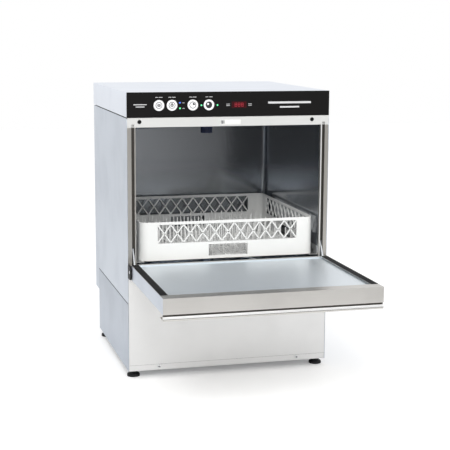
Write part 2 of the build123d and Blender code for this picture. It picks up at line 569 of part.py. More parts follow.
# ---- Wash pump, its axis along Y ----
PUMP_X = 110.0
PUMP_Z = 100.0
CASING_Y = (FRONT_Y + 150.0, FRONT_Y + 190.0)
CASING_R = 56.0
MOTOR_R = 50.0
MOTOR_Y = (FRONT_Y + 24.0, CASING_Y[0])
SHAFT_R = 8.0
OUTLET_X = PUMP_X - 38.0

with BuildPart() as wash_pump_casing:
    pump_axis = (PUMP_X, PUMP_Z)
    casing_mid_y = sum(CASING_Y) / 2
    rod(pump_axis, CASING_R, "Y", CASING_Y)
    rod(pump_axis, HOSE_R - HOSE_WALL, "Y", (CASING_Y[1], CASING_Y[1] + 22))
    rod((OUTLET_X, casing_mid_y), DELIVERY_R - HOSE_WALL, "Z", (PUMP_Z, PUMP_Z + 72))
    rod(pump_axis, CASING_R - 4, "Y", (CASING_Y[0] + 4, CASING_Y[1] - 4), Mode.SUBTRACT)
    rod(pump_axis, HOSE_R - 2 * HOSE_WALL, "Y", (CASING_Y[1] - 5, CASING_Y[1] + 23), Mode.SUBTRACT)
    rod((OUTLET_X, casing_mid_y), DELIVERY_R - 2 * HOSE_WALL, "Z", (PUMP_Z + 25, PUMP_Z + 75),
        Mode.SUBTRACT)
    rod(pump_axis, SHAFT_R + RUNNING, "Y", (CASING_Y[0] - 1, CASING_Y[0] + 6), Mode.SUBTRACT)
save(wash_pump_casing, "wash_pump_casing")

with BuildPart() as wash_pump_motor:
    rod(pump_axis, MOTOR_R, "Y", MOTOR_Y)
    with BuildSketch(Plane.XZ.offset(-MOTOR_Y[0] - 20)):
        with Locations((PUMP_X, PUMP_Z)):
            with PolarLocations(MOTOR_R + 1, 20):
                Rectangle(4, 2)
    extrude(amount=-(MOTOR_Y[1] - MOTOR_Y[0] - 45))
    # Terminal box on top and foot on the base tray.
    block((PUMP_X - 28, PUMP_X + 28), (MOTOR_Y[0] + 35, MOTOR_Y[0] + 90),
          (PUMP_Z + MOTOR_R - 6, PUMP_Z + MOTOR_R + 22))
    block((PUMP_X - 45, PUMP_X + 45), (MOTOR_Y[0] + 30, MOTOR_Y[0] + 90), (FLOOR_Z, FLOOR_Z + 4))
    block((PUMP_X - 22, PUMP_X + 22), (MOTOR_Y[0] + 40, MOTOR_Y[0] + 80), (FLOOR_Z, PUMP_Z - 40))
    rod(pump_axis, SHAFT_R + RUNNING, "Y", (MOTOR_Y[1] - 30, MOTOR_Y[1] + 1), Mode.SUBTRACT)
save(wash_pump_motor, "wash_pump_motor")

VANES = 6
with BuildPart() as pump_impeller:
    rod(pump_axis, SHAFT_R, "Y", (MOTOR_Y[1] - 28, CASING_Y[0] + 22))
    rod(pump_axis, 42, "Y", (CASING_Y[0] + 8, CASING_Y[0] + 12))
    with BuildSketch(Plane.XZ.offset(-CASING_Y[0] - 12)):
        with Locations((PUMP_X, PUMP_Z)):
            with PolarLocations(24, VANES):
                Rectangle(34, 4)
    extrude(amount=-12)
save(pump_impeller, "pump_impeller")


def tube(points, bend_r, outer_r):
    """A hose of round section along straight runs joined by arcs."""
    with BuildPart() as hose:
        with BuildLine() as route:
            FilletPolyline(*points, radius=bend_r)
        with BuildSketch(Plane(origin=route.line @ 0, z_dir=route.line % 0)):
            Circle(outer_r)
            Circle(outer_r - HOSE_WALL, mode=Mode.SUBTRACT)
        sweep(path=route.line)
    return hose.part


RISER_TOP_Z = CEILING_Z + 40.0
suction_hose = tube(
    [(SUMP_X, ARM_Y, SUMP_Z - SHEET), (SUMP_X, ARM_Y, PUMP_Z), (PUMP_X, CASING_Y[1], PUMP_Z)],
    40, HOSE_R)
delivery_hose = tube(
    [(OUTLET_X, casing_mid_y, PUMP_Z + 57), (OUTLET_X, casing_mid_y, 205), (0, ARM_Y, 205),
     (0, ARM_Y, TANK_Z - SHEET)], 17, DELIVERY_R)
riser_hose = tube(
    [(0, ARM_Y + DELIVERY_R + 0.2, RISER_Z), (0, RISER_Y, RISER_Z), (0, RISER_Y, RISER_TOP_Z),
     (0, ARM_Y, RISER_TOP_Z), (0, ARM_Y, CEILING_Z + 10)], 20, RISER_R)
drain_pump_x = DRAIN[0]
drain_hose = tube(
    [(SUMP_X + SUMP_R + SHEET, ARM_Y, 205), (drain_pump_x, ARM_Y, 205), (drain_pump_x, ARM_Y, DRAIN[1]),
     (drain_pump_x, BACK_Y - 118, DRAIN[1])], 18, DRAIN_HOSE_R)
with BuildPart() as pump_hoses:
    add([suction_hose, delivery_hose, riser_hose, drain_hose])
save(pump_hoses, "pump_hoses")

# ---- Water inlet, booster and drain ----
BOOSTER_X = -188.0
BOOSTER_Z = 104.0
BOOSTER_R = 60.0
BOOSTER_Y = (FRONT_Y + 92.0, FRONT_Y + 395.0)
booster_axis = (BOOSTER_X, BOOSTER_Z)
with BuildPart() as booster_tank:
    rod(booster_axis, BOOSTER_R, "Y", BOOSTER_Y)
    rod(booster_axis, BOOSTER_R - SHEET, "Y", (BOOSTER_Y[0] + SHEET, BOOSTER_Y[1] - SHEET), Mode.SUBTRACT)
    rod(booster_axis, 26, "Y", (BOOSTER_Y[0] - 1, BOOSTER_Y[0] + 5), Mode.SUBTRACT)
    for saddle_y in (BOOSTER_Y[0] + 40, BOOSTER_Y[1] - 60):
        block((BOOSTER_X - 40, BOOSTER_X + 40), (saddle_y, saddle_y + 20), (FLOOR_Z, BOOSTER_Z - 43))
        rod(booster_axis, BOOSTER_R - SHEET, "Y", (saddle_y - 1, saddle_y + 21), Mode.SUBTRACT)
save(booster_tank, "booster_tank")

with BuildPart() as booster_heater:
    rod(booster_axis, 36, "Y", (BOOSTER_Y[0] - 8, BOOSTER_Y[0]))
    rod(booster_axis, 26, "Y", (BOOSTER_Y[0], BOOSTER_Y[0] + 6))
    for turn in range(3):
        rod_x = BOOSTER_X + 14 * cos(2 * pi * turn / 3)
        rod_z = BOOSTER_Z + 14 * sin(2 * pi * turn / 3)
        rod((rod_x, rod_z), 4, "Y", (BOOSTER_Y[0] + 5, BOOSTER_Y[1] - 30))
    with BuildSketch(Plane.XZ.offset(-BOOSTER_Y[0] + 8)):
        with Locations((BOOSTER_X, BOOSTER_Z)):
            with PolarLocations(30, 6):
                RegularPolygon(4.5, 6)
    extrude(amount=4)
save(booster_heater, "booster_heater")

with BuildPart() as inlet_valve:
    block((INLET[0] - 20, INLET[0] + 20), (BACK_Y - 50, BACK_Y - 10), (INLET[1] - 20, INLET[1] + 20))
    fillet(inlet_valve.edges().filter_by(Axis.Y), 4)
    rod(INLET, INLET_R, "Y", (BACK_Y - 10, BACK_Y + 20))
    rod(INLET, COLLAR_R[0], "Y", (BACK_Y - 10, BACK_Y + COLLAR_OUT))
    rod(INLET, 9.5, "Y", (BACK_Y - 30, BACK_Y + 21), Mode.SUBTRACT)
    rod((INLET[0], BACK_Y - 30), 14, "Z", (INLET[1] + 20, INLET[1] + 52))
save(inlet_valve, "inlet_valve")

with BuildPart() as drain_pump:
    rod(DRAIN, 32, "Y", (BACK_Y - 100, BACK_Y - 60))
    rod(DRAIN, COLLAR_R[1], "Y", (BACK_Y - 60, BACK_Y + COLLAR_OUT))
    rod(DRAIN, DRAIN_R, "Y", (BACK_Y - 60, BACK_Y + 40))
    rod(DRAIN, DRAIN_R - 3, "Y", (BACK_Y - 90, BACK_Y + 41), Mode.SUBTRACT)
    rod(DRAIN, DRAIN_HOSE_R - HOSE_WALL, "Y", (BACK_Y - 118, BACK_Y - 100))
    rod(DRAIN, DRAIN_HOSE_R - 2 * HOSE_WALL, "Y", (BACK_Y - 119, BACK_Y - 88), Mode.SUBTRACT)
    rod((BACK_Y - 80, DRAIN[1]), 22, "X", (DRAIN[0] - 75, DRAIN[0] - 25))
    block((DRAIN[0] - 25, DRAIN[0] + 25), (BACK_Y - 95, BACK_Y - 65), (FLOOR_Z, DRAIN[1] - 25))
save(drain_pump, "drain_pump")

with BuildPart() as cable_gland:
    rod(GLAND, GLAND_R, "Y", (BACK_Y - 12, BACK_Y))
    with BuildSketch(Plane.XZ.offset(-BACK_Y)):
        with Locations(GLAND):
            RegularPolygon(14, 6)
    extrude(amount=-8)
    rod(GLAND, 11, "Y", (BACK_Y + 8, BACK_Y + 20))
    with BuildSketch(Plane.XZ.offset(-BACK_Y + SHEET)):
        with Locations(GLAND):
            RegularPolygon(14, 6)
    extrude(amount=5)
    rod(GLAND, 6.5, "Y", (BACK_Y - 13, BACK_Y + 21), Mode.SUBTRACT)
save(cable_gland, "cable_gland")

# ---- Electrics in the base ----
E_BOX_X = (-112.0, 44.0)
E_BOX_Y = (FRONT_Y + 22.0, FRONT_Y + 82.0)
E_BOX_Z = (70.0, 212.0)
with BuildPart() as electrical_box:
    block(E_BOX_X, E_BOX_Y, E_BOX_Z)
    offset(amount=-2, openings=electrical_box.faces().sort_by(Axis.Y)[0])
    block((E_BOX_X[0] + 20, E_BOX_X[0] + 40), E_BOX_Y, (FLOOR_Z, E_BOX_Z[0]))
    block((E_BOX_X[1] - 40, E_BOX_X[1] - 20), E_BOX_Y, (FLOOR_Z, E_BOX_Z[0]))
save(electrical_box, "electrical_box")

with BuildPart() as contactors:
    rail_y = E_BOX_Y[1] - 2
    block((E_BOX_X[0] + 6, E_BOX_X[1] - 6), (rail_y - 7, rail_y), (132, 152))
    for unit in range(3):
        unit_x = E_BOX_X[0] + 34 + 46 * unit
        block((unit_x - 20, unit_x + 20), (rail_y - 50, rail_y - 7), (108, 176))
        block((unit_x - 14, unit_x + 14), (rail_y - 54, rail_y - 50), (124, 160))
save(contactors, "contactors")

with BuildPart() as dosing_pumps:
    for pump_x in (-240.0, -180.0):
        block((pump_x - 22, pump_x + 22), (FRONT_Y + 30, FRONT_Y + 76), (FLOOR_Z + 20, FLOOR_Z + 75))
        rod((pump_x, FLOOR_Z + 48), 19, "Y", (FRONT_Y + 16, FRONT_Y + 30))
    block((-250, -150), (FRONT_Y + 46, FRONT_Y + 64), (FLOOR_Z, FLOOR_Z + 20))
save(dosing_pumps, "dosing_pumps")

# ---- Control panel ----
BUTTON_Z = 754.5
BUTTONS = {
    "button_power": -198.5,
    "button_drain": -162.5,
    "button_cycle": -105.0,
    "button_start": -60.0,
}
BUTTON_R = 14.6
BUTTON_HOLE_R = 15.0
STALK_R = 4.0
LIGHT_R = 2.3
LIGHTS = ((-140.5, 761.0), (-140.5, 746.0), (-81.0, 753.5), (-36.0, 753.5))
DISPLAY_X = (4.0, 46.0)
DISPLAY_Z = (745.0, 763.0)
PLATE_Y = FRONT_Y + 8.0
BOARD_Y = FRONT_Y + 22.0

with BuildPart() as control_fascia:
    block((-INNER_X - 0.5, INNER_X + 0.5), (FRONT_Y, FRONT_Y + FASCIA_T), (TOP_SEAM_Z + SEAM, TOP_Z))
    for button_x in BUTTONS.values():
        rod((button_x, BUTTON_Z), BUTTON_HOLE_R, "Y", (FRONT_Y - 1, FRONT_Y + 5), Mode.SUBTRACT)
    for place in LIGHTS:
        rod(place, LIGHT_R, "Y", (FRONT_Y - 1, FRONT_Y + 5), Mode.SUBTRACT)
    block(DISPLAY_X, (FRONT_Y - 1, FRONT_Y + 5), DISPLAY_Z, Mode.SUBTRACT)
save(control_fascia, "control_fascia")

with BuildPart() as control_back_plate:
    block((-INNER_X + 1, INNER_X - 1), (PLATE_Y, PLATE_Y + SHEET), (TOP_SEAM_Z + 4, TOP_Z - 8))
    for edge_z in (TOP_SEAM_Z + 4, TOP_Z - 8 - SHEET):
        block((-INNER_X + 1, INNER_X - 1), (FRONT_Y + FASCIA_T, PLATE_Y), (edge_z, edge_z + SHEET))
    for button_x in BUTTONS.values():
        rod((button_x, BUTTON_Z), STALK_R + RUNNING, "Y", (PLATE_Y - 1, PLATE_Y + 5), Mode.SUBTRACT)
    for place in LIGHTS:
        rod(place, LIGHT_R, "Y", (PLATE_Y - 1, PLATE_Y + 5), Mode.SUBTRACT)
    block(DISPLAY_X, (PLATE_Y - 1, PLATE_Y + 5), DISPLAY_Z, Mode.SUBTRACT)
save(control_back_plate, "control_back_plate")

for button_name, button_x in BUTTONS.items():
    with BuildPart() as button:
        place = (button_x, BUTTON_Z)
        rod(place, BUTTON_R, "Y", (FRONT_Y - 1.2, FRONT_Y + 2.8))
        fillet(button.edges().filter_by(GeomType.CIRCLE).sort_by(Axis.Y)[0], 0.8)
        rod(place, STALK_R, "Y", (FRONT_Y + 2.8, BOARD_Y - 6))
    save(button, button_name)

with BuildPart() as indicator_lights:
    for place in LIGHTS:
        rod(place, LIGHT_R, "Y", (FRONT_Y - 0.3, BOARD_Y))
save(indicator_lights, "indicator_lights")

with BuildPart() as display_window:
    block(DISPLAY_X, (FRONT_Y, BOARD_Y), DISPLAY_Z)
save(display_window, "display_window")

with BuildPart() as control_board:
    block((-230, 70), (BOARD_Y, BOARD_Y + 1.6), (731, 777))
    for button_x in BUTTONS.values():
        # Key switch behind each button, just clear of its stalk when it is pressed home.
        block((button_x - 6, button_x + 6), (BOARD_Y - 3.5, BOARD_Y), (BUTTON_Z - 6, BUTTON_Z + 6))
    for chip_x in (-180, -120, -20, 50):
        block((chip_x - 9, chip_x + 9), (BOARD_Y + 1.6, BOARD_Y + 9), (738, 770))
save(control_board, "control_board")

# ---- Rack, modelled home in the chamber ----
RACK_Y = FRONT_Y + RACK_INSET + RACK_W / 2
RACK_WALL = 5.0
RACK_CORNER_R = 24.0
WINDOW_W = 400.0
WINDOW_H = 50.0
GRIP_W = 112.0
GRIP_H = 32.0
MESH_PITCH = 60.0
PEG_H = 62.0

with BuildPart() as rack:
    with BuildSketch(Plane.XY.offset(RACK_Z)):
        with Locations((0, RACK_Y)):
            RectangleRounded(RACK_W, RACK_W, RACK_CORNER_R)
    extrude(amount=RACK_H)
    with BuildSketch(Plane.XY.offset(RACK_Z + RACK_WALL)):
        with Locations((0, RACK_Y)):
            RectangleRounded(RACK_W - 2 * RACK_WALL, RACK_W - 2 * RACK_WALL, RACK_CORNER_R - RACK_WALL)
    extrude(amount=RACK_H, mode=Mode.SUBTRACT)
    # Open mesh floor.
    with BuildSketch(Plane.XY.offset(RACK_Z)):
        with Locations((0, RACK_Y)):
            with GridLocations(MESH_PITCH, MESH_PITCH, 8, 8):
                Rectangle(MESH_PITCH - 6, MESH_PITCH - 6)
    extrude(amount=RACK_WALL, mode=Mode.SUBTRACT)
    # Windows and hand grips in the walls.
    window_z = (RACK_Z + RACK_H - 8 - WINDOW_H, RACK_Z + RACK_H - 8)
    grip_z = (RACK_Z + 8, RACK_Z + 8 + GRIP_H)
    for wide, high in ((WINDOW_W, window_z), (GRIP_W, grip_z)):
        block((-wide / 2, wide / 2), (RACK_Y - RACK_W, RACK_Y + RACK_W), high, Mode.SUBTRACT)
        block((-RACK_W, RACK_W), (RACK_Y - wide / 2, RACK_Y + wide / 2), high, Mode.SUBTRACT)
    for post in (-160.0, -80.0, 0.0, 80.0, 160.0):
        for wall in (-1, 1):
            edge = (RACK_W / 2 - RACK_WALL, RACK_W / 2)
            block((post - 4, post + 4), (RACK_Y + wall * edge[0], RACK_Y + wall * edge[1]), window_z)
            block((wall * edge[0], wall * edge[1]), (RACK_Y + post - 4, RACK_Y + post + 4), window_z)
    # Pegs on the crossings of the mesh.
    with BuildSketch(Plane.XY.offset(RACK_Z)):
        with Locations((0, RACK_Y)):
            with GridLocations(MESH_PITCH, MESH_PITCH, 7, 7):
                Rectangle(6, 6)
    extrude(amount=PEG_H)
save(rack, "rack")
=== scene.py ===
"""Looks of the undercounter dishwasher, built round its fixed frame. All lengths are in metres."""

import logging
import math
from dataclasses import dataclass, field
from enum import Enum

import bpy
from mathutils import Matrix, Vector

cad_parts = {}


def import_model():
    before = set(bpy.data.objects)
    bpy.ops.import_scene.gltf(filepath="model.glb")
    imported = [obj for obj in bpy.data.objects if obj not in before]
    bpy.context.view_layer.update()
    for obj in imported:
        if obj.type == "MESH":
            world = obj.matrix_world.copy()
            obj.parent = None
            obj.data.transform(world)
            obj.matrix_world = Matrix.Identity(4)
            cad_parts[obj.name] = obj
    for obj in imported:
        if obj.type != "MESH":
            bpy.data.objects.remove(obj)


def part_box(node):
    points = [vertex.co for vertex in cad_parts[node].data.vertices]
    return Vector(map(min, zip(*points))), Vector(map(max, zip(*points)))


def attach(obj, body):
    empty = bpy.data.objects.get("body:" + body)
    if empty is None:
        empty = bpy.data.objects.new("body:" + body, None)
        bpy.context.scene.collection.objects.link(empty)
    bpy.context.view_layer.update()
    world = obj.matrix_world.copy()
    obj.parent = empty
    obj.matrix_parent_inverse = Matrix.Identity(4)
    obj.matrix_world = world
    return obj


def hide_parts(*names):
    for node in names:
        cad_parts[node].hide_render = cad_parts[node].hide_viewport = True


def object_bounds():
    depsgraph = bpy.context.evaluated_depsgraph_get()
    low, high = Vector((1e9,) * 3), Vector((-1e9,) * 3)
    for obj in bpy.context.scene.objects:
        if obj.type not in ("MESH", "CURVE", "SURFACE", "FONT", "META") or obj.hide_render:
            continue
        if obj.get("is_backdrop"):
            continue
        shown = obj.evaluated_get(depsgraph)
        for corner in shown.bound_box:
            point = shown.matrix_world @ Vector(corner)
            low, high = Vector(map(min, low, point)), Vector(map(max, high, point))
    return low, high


LOG = logging.getLogger("dishwasher")
MM = 0.001
SHARP = math.radians(35)  # an edge that turns by more than this is rounded
FLAT = math.radians(0.5)  # faces that turn by less than this become one
MERGE = 0.01 * MM
Colour = tuple[float, float, float]
Point = Vector | tuple[float, float, float]


class Axis(Enum):
    """A direction in the machine's frame, with its index."""

    X = 0
    Y = 1
    Z = 2


# ---- Shared shader node groups ----
class NodeTree:
    """A short way to add and join nodes in one tree."""

    def __init__(self, tree: bpy.types.NodeTree) -> None:
        """Keep the tree that nodes are added to.

        Args:
            tree: A material's tree or a group's.
        """
        self.tree = tree

    def add(self, kind: str, **values: object) -> bpy.types.Node:
        """Add a node and set its properties.

        Args:
            kind: The node's type name, without the ShaderNode prefix.
            values: Properties of the node, by name.

        Returns:
            The new node.
        """
        prefix = "" if kind.startswith("Node") else "ShaderNode"
        node = self.tree.nodes.new(prefix + kind)
        for name, value in values.items():
            setattr(node, name, value)
        return node

    def join(self, output: bpy.types.NodeSocket, target: bpy.types.NodeSocket) -> None:
        """Link one socket to another."""
        self.tree.links.new(output, target)

    def feed(self, value: bpy.types.NodeSocket | float, target: bpy.types.NodeSocket) -> None:
        """Link a socket to an input, or set the input to a number.

        Args:
            value: A socket or a number.
            target: The input that takes it.
        """
        if isinstance(value, bpy.types.NodeSocket):
            self.join(value, target)
        else:
            target.default_value = value

    def maths(
        self, operation: str, first: bpy.types.NodeSocket | float, second: bpy.types.NodeSocket | float
    ) -> bpy.types.NodeSocket:
        """Add a Math node.

        Args:
            operation: The name of the operation, such as "MULTIPLY".
            first: A socket or a number.
            second: A socket or a number.

        Returns:
            The node's output socket.
        """
        node = self.add("Math", operation=operation)
        self.feed(first, node.inputs[0])
        self.feed(second, node.inputs[1])
        return node.outputs[0]

    def mix(self, factor: bpy.types.NodeSocket, first: Colour, second: Colour) -> bpy.types.NodeSocket:
        """Mix two plain colours.

        Args:
            factor: The share of the second colour.
            first: The first colour.
            second: The second colour.

        Returns:
            The mixed colour's socket.
        """
        node = self.add("Mix", data_type="RGBA")
        share, colour_a, colour_b = (node.inputs[index] for index in (0, 6, 7))
        self.join(factor, share)
        colour_a.default_value = (*first, 1.0)
        colour_b.default_value = (*second, 1.0)
        return node.outputs[2]


def new_group(name: str, inputs: dict[str, float], outputs: tuple[str, ...]) -> bpy.types.ShaderNodeTree:
    """Make an empty shader group with a Vector input, number inputs and number outputs.

    Args:
        name: The group's name.
        inputs: Number inputs and their defaults.
        outputs: Names of the number outputs.

    Returns:
        The new group.
    """
    group = bpy.data.node_groups.new(name, "ShaderNodeTree")
    group.interface.new_socket("Vector", in_out="INPUT", socket_type="NodeSocketVector")
    for label, default in inputs.items():
        socket = group.interface.new_socket(label, in_out="INPUT", socket_type="NodeSocketFloat")
        socket.default_value = default
    for label in outputs:
        group.interface.new_socket(label, in_out="OUTPUT", socket_type="NodeSocketFloat")
    return group


def grain_group() -> bpy.types.ShaderNodeTree:
    """Build the long fine lines that brushing or rolling leaves in sheet metal.

    Returns:
        A group whose Lines output is about 0.5 on average.
    """
    group = new_group("brushed_grain", {"Along": 6.0, "Across": 900.0}, ("Lines",))
    tree = NodeTree(group)
    source, sink = tree.add("NodeGroupInput"), tree.add("NodeGroupOutput")
    scale = tree.add("CombineXYZ")
    tree.join(source.outputs["Along"], scale.inputs[0])
    for index in (1, 2):
        tree.join(source.outputs["Across"], scale.inputs[index])
    stretch = tree.add("VectorMath", operation="MULTIPLY")
    tree.join(source.outputs["Vector"], stretch.inputs[0])
    tree.join(scale.outputs[0], stretch.inputs[1])
    noise = tree.add("TexNoise", noise_dimensions="3D")
    noise.inputs["Scale"].default_value = 1.0
    noise.inputs["Detail"].default_value = 3.0
    tree.join(stretch.outputs[0], noise.inputs["Vector"])
    tree.join(noise.outputs["Fac"], sink.inputs["Lines"])
    return group


def smudge_group() -> bpy.types.ShaderNodeTree:
    """Build the soft uneven patches that handling and wiping leave on a surface.

    Returns:
        A group with a Patches mask from 0 to 1 and a Specks mask of small marks.
    """
    group = new_group("wiped_smudges", {"Size": 7.0, "Fine": 240.0}, ("Patches", "Specks"))
    tree = NodeTree(group)
    source, sink = tree.add("NodeGroupInput"), tree.add("NodeGroupOutput")
    layers = (("Size", 4.0, 0.38, 0.68, "Patches"), ("Fine", 2.0, 0.62, 0.72, "Specks"))
    for size, detail, low, high, label in layers:
        noise = tree.add("TexNoise", noise_dimensions="3D")
        noise.inputs["Detail"].default_value = detail
        tree.join(source.outputs["Vector"], noise.inputs["Vector"])
        tree.join(source.outputs[size], noise.inputs["Scale"])
        ramp = tree.add("MapRange", interpolation_type="SMOOTHSTEP")
        ramp.inputs["From Min"].default_value = low
        ramp.inputs["From Max"].default_value = high
        tree.join(noise.outputs["Fac"], ramp.inputs["Value"])
        tree.join(ramp.outputs["Result"], sink.inputs[label])
    return group


# ---- Finishes ----
LINES_MIDDLE = 0.5  # average of the grain's Lines
GRAIN_CONTRAST = 4.0
BUMP_GAIN = 4.0
BUMP_DEPTH = 0.2 * MM
COAT_ROUGHNESS = 0.08


@dataclass(frozen=True)
class Finish:
    """One surface finish: how it is coloured, how rough it is and what marks it carries."""

    name: str
    colour: Colour
    roughness: float
    metal: float = 0.0
    grain: float = 0.0
    grain_axis: Axis = Axis.X
    smudge: float = 0.06
    tint: float = 0.05
    bump: float = 0.02
    coat: float = 0.0
    specular: float = 0.5
    glow: float = 0.0
    glow_colour: Colour = (1.0, 1.0, 1.0)

    def vector(self, tree: NodeTree) -> bpy.types.NodeSocket:
        """Give Object coordinates, turned so that the grain's length lies along X.

        Args:
            tree: The material's tree.

        Returns:
            The coordinate socket.
        """
        where = tree.add("TexCoord").outputs["Object"]
        if self.grain_axis is Axis.X:
            return where
        quarter = math.pi / 2
        turn = (0, 0, quarter) if self.grain_axis is Axis.Y else (0, quarter, 0)
        turned = tree.add("Mapping")
        turned.inputs["Rotation"].default_value = turn
        tree.join(where, turned.inputs["Vector"])
        return turned.outputs[0]

    def build(self, groups: dict[str, bpy.types.ShaderNodeTree]) -> bpy.types.Material:
        """Make the material.

        Args:
            groups: The shared node groups, by name.

        Returns:
            The new material.
        """
        material = bpy.data.materials.new(self.name)
        material.use_nodes = True
        tree = NodeTree(material.node_tree)
        shader = material.node_tree.nodes["Principled BSDF"]
        shader.inputs["Metallic"].default_value = self.metal
        shader.inputs["Coat Weight"].default_value = self.coat
        shader.inputs["Specular IOR Level"].default_value = self.specular
        shader.inputs["Coat Roughness"].default_value = COAT_ROUGHNESS
        vector = self.vector(tree)
        marks = tree.add("Group", node_tree=groups["smudge"])
        grain = tree.add("Group", node_tree=groups["grain"])
        for node in (marks, grain):
            tree.join(vector, node.inputs["Vector"])
        darker = tuple(value * (1 - self.tint) for value in self.colour)
        lighter = tuple(min(1.0, value * (1 + self.tint)) for value in self.colour)
        lines = tree.maths("SUBTRACT", grain.outputs["Lines"], LINES_MIDDLE)
        shade = tree.maths("MULTIPLY", lines, self.grain * GRAIN_CONTRAST)
        shade = tree.maths("ADD", shade, marks.outputs["Patches"])
        tree.join(tree.mix(shade, lighter, darker), shader.inputs["Base Color"])
        rough = tree.maths("MULTIPLY", marks.outputs["Patches"], self.smudge)
        rough = tree.maths("ADD", rough, tree.maths("MULTIPLY", lines, self.grain))
        rough = tree.maths("ADD", rough, tree.maths("MULTIPLY", marks.outputs["Specks"], self.smudge))
        tree.join(tree.maths("ADD", rough, self.roughness), shader.inputs["Roughness"])
        bump = tree.add("Bump")
        bump.inputs["Strength"].default_value = min(1.0, self.bump * BUMP_GAIN)
        bump.inputs["Distance"].default_value = BUMP_DEPTH
        height = grain.outputs["Lines"] if self.grain > 0 else marks.outputs["Specks"]
        tree.join(height, bump.inputs["Height"])
        tree.join(bump.outputs["Normal"], shader.inputs["Normal"])
        if self.glow > 0:
            shader.inputs["Emission Color"].default_value = (*self.glow_colour, 1.0)
            shader.inputs["Emission Strength"].default_value = self.glow
        return material


# One stainless steel in lit and shaded copies: the top is lighter as painted light, the base darker as
# painted shade, and the sides bluish and the door and frame warm as painted reflection
STEEL_SIDE_PAINTED_REFLECTION = Finish("steel_side_painted_reflection", (0.585, 0.63, 0.695), 0.36, 1.0, 0.05, Axis.Z, smudge=0.04, tint=0.03)
STEEL_BASE_PAINTED_SHADE = Finish("steel_base_painted_shade", (0.51, 0.55, 0.61), 0.38, 1.0, 0.05, Axis.Y, smudge=0.04, tint=0.03)
STEEL_TOP_PAINTED_LIGHT = Finish("steel_top_painted_light", (0.82, 0.86, 0.93), 0.38, 1.0, 0.04, smudge=0.03, tint=0.02)
STEEL_PANEL_AND_NOSE_HIGHLIGHT = Finish("steel_service_panel_and_nose_highlight", (0.84, 0.84, 0.835), 0.46, 1.0, 0.06, smudge=0.03, tint=0.02)
STEEL_DOOR_PAINTED_REFLECTION = Finish("steel_door_painted_reflection", (0.61, 0.595, 0.57), 0.36, 1.0, 0.16, smudge=0.03, tint=0.05)
STEEL_FRAME_PAINTED_REFLECTION = Finish("steel_frame_painted_reflection", (0.54, 0.52, 0.485), 0.36, 1.0, 0.06, Axis.Z, smudge=0.03, tint=0.03)
STEEL_LINTEL_PAINTED_LIGHT = Finish("steel_lintel_painted_light", (0.66, 0.66, 0.645), 0.50, 0.35, 0.05, smudge=0.03, tint=0.02)
STEEL_POLISHED = Finish("steel_polished", (0.56, 0.61, 0.68), 0.18, 1.0, 0.02, smudge=0.03, tint=0.03)
STEEL_LINER = Finish("steel_liner", (0.74, 0.79, 0.83), 0.42, 0.8, 0.02, smudge=0.0, tint=0.01, bump=0.0)
STEEL_CHAMBER = Finish("steel_chamber", (0.46, 0.48, 0.51), 0.15, 1.0, 0.02, Axis.Z, smudge=0.02, tint=0.03)
STEEL_BRIGHT = Finish("steel_bright", (0.80, 0.81, 0.82), 0.22, 1.0, 0.02, tint=0.02)
# Painted shade: a dark steel put in grooves, cut lines and creases
STEEL_SHADOW = Finish("steel_painted_shade", (0.075, 0.068, 0.060), 0.45, 0.6, 0.05, Axis.Z, smudge=0.04)
GALVANISED = Finish("galvanised_sheet", (0.55, 0.57, 0.59), 0.42, 1.0, smudge=0.12, tint=0.12)
SPRING_STEEL = Finish("spring_steel", (0.32, 0.33, 0.35), 0.30, 1.0, 0.02)
BLACK_PLASTIC = Finish("black_plastic", (0.009, 0.009, 0.010), 0.50, bump=0.10, tint=0.15, specular=0.25)
BLACK_RUBBER_AND_SEAM_SHADE = Finish("black_rubber", (0.006, 0.006, 0.007), 0.65, bump=0.12, tint=0.2, specular=0.15)
FASCIA_BLACK = Finish("fascia_black", (0.006, 0.0055, 0.0055), 0.36, smudge=0.04, specular=0.18)
WHITE_PLASTIC = Finish("white_plastic", (0.79, 0.79, 0.77), 0.42, bump=0.05, tint=0.02, specular=0.35)
BUTTON_WHITE = Finish("button_white", (0.88, 0.88, 0.89), 0.30, smudge=0.03, tint=0.02, coat=0.3)
BLUE_PLASTIC = Finish("blue_plastic", (0.010, 0.018, 0.060), 0.34, bump=0.05)
PRINT_WHITE = Finish("print_white", (0.62, 0.62, 0.63), 0.5, tint=0.03)
PRINT_DARK_AND_SLOT_SHADE = Finish("print_dark_and_slot_shade", (0.02, 0.02, 0.022), 0.45, tint=0.05)
PRINT_GREY = Finish("print_grey", (0.16, 0.16, 0.17), 0.45, tint=0.05)
DISPLAY_GLASS = Finish("display_glass", (0.045, 0.006, 0.008), 0.20, specular=0.3)
DISPLAY_LIT = Finish("display_lit", (0.30, 0.01, 0.02), 0.4, glow=0.16, glow_colour=(1.0, 0.06, 0.12))
LAMP_GREEN = Finish("lamp_green", (0.10, 0.75, 0.30), 0.25, glow=0.45, glow_colour=(0.20, 1.0, 0.45))
LAMP_BLUE = Finish("lamp_blue", (0.06, 0.16, 0.70), 0.25, glow=0.45, glow_colour=(0.12, 0.20, 1.0))
PUMP_PLASTIC = Finish("pump_plastic", (0.07, 0.075, 0.08), 0.5, bump=0.08, tint=0.12)
MOTOR_CAST = Finish("motor_casting", (0.50, 0.51, 0.53), 0.45, 1.0, bump=0.2, tint=0.1)
HOSE_RUBBER = Finish("hose_rubber", (0.025, 0.025, 0.026), 0.55, bump=0.1, tint=0.15)
VALVE_PLASTIC = Finish("valve_plastic", (0.62, 0.64, 0.62), 0.42, bump=0.06)
BOARD_GREEN = Finish("board_green", (0.02, 0.14, 0.05), 0.35, tint=0.2)
FLOOR_PALE = Finish("floor_pale", (0.90, 0.90, 0.90), 0.7, tint=0.01, smudge=0.02)


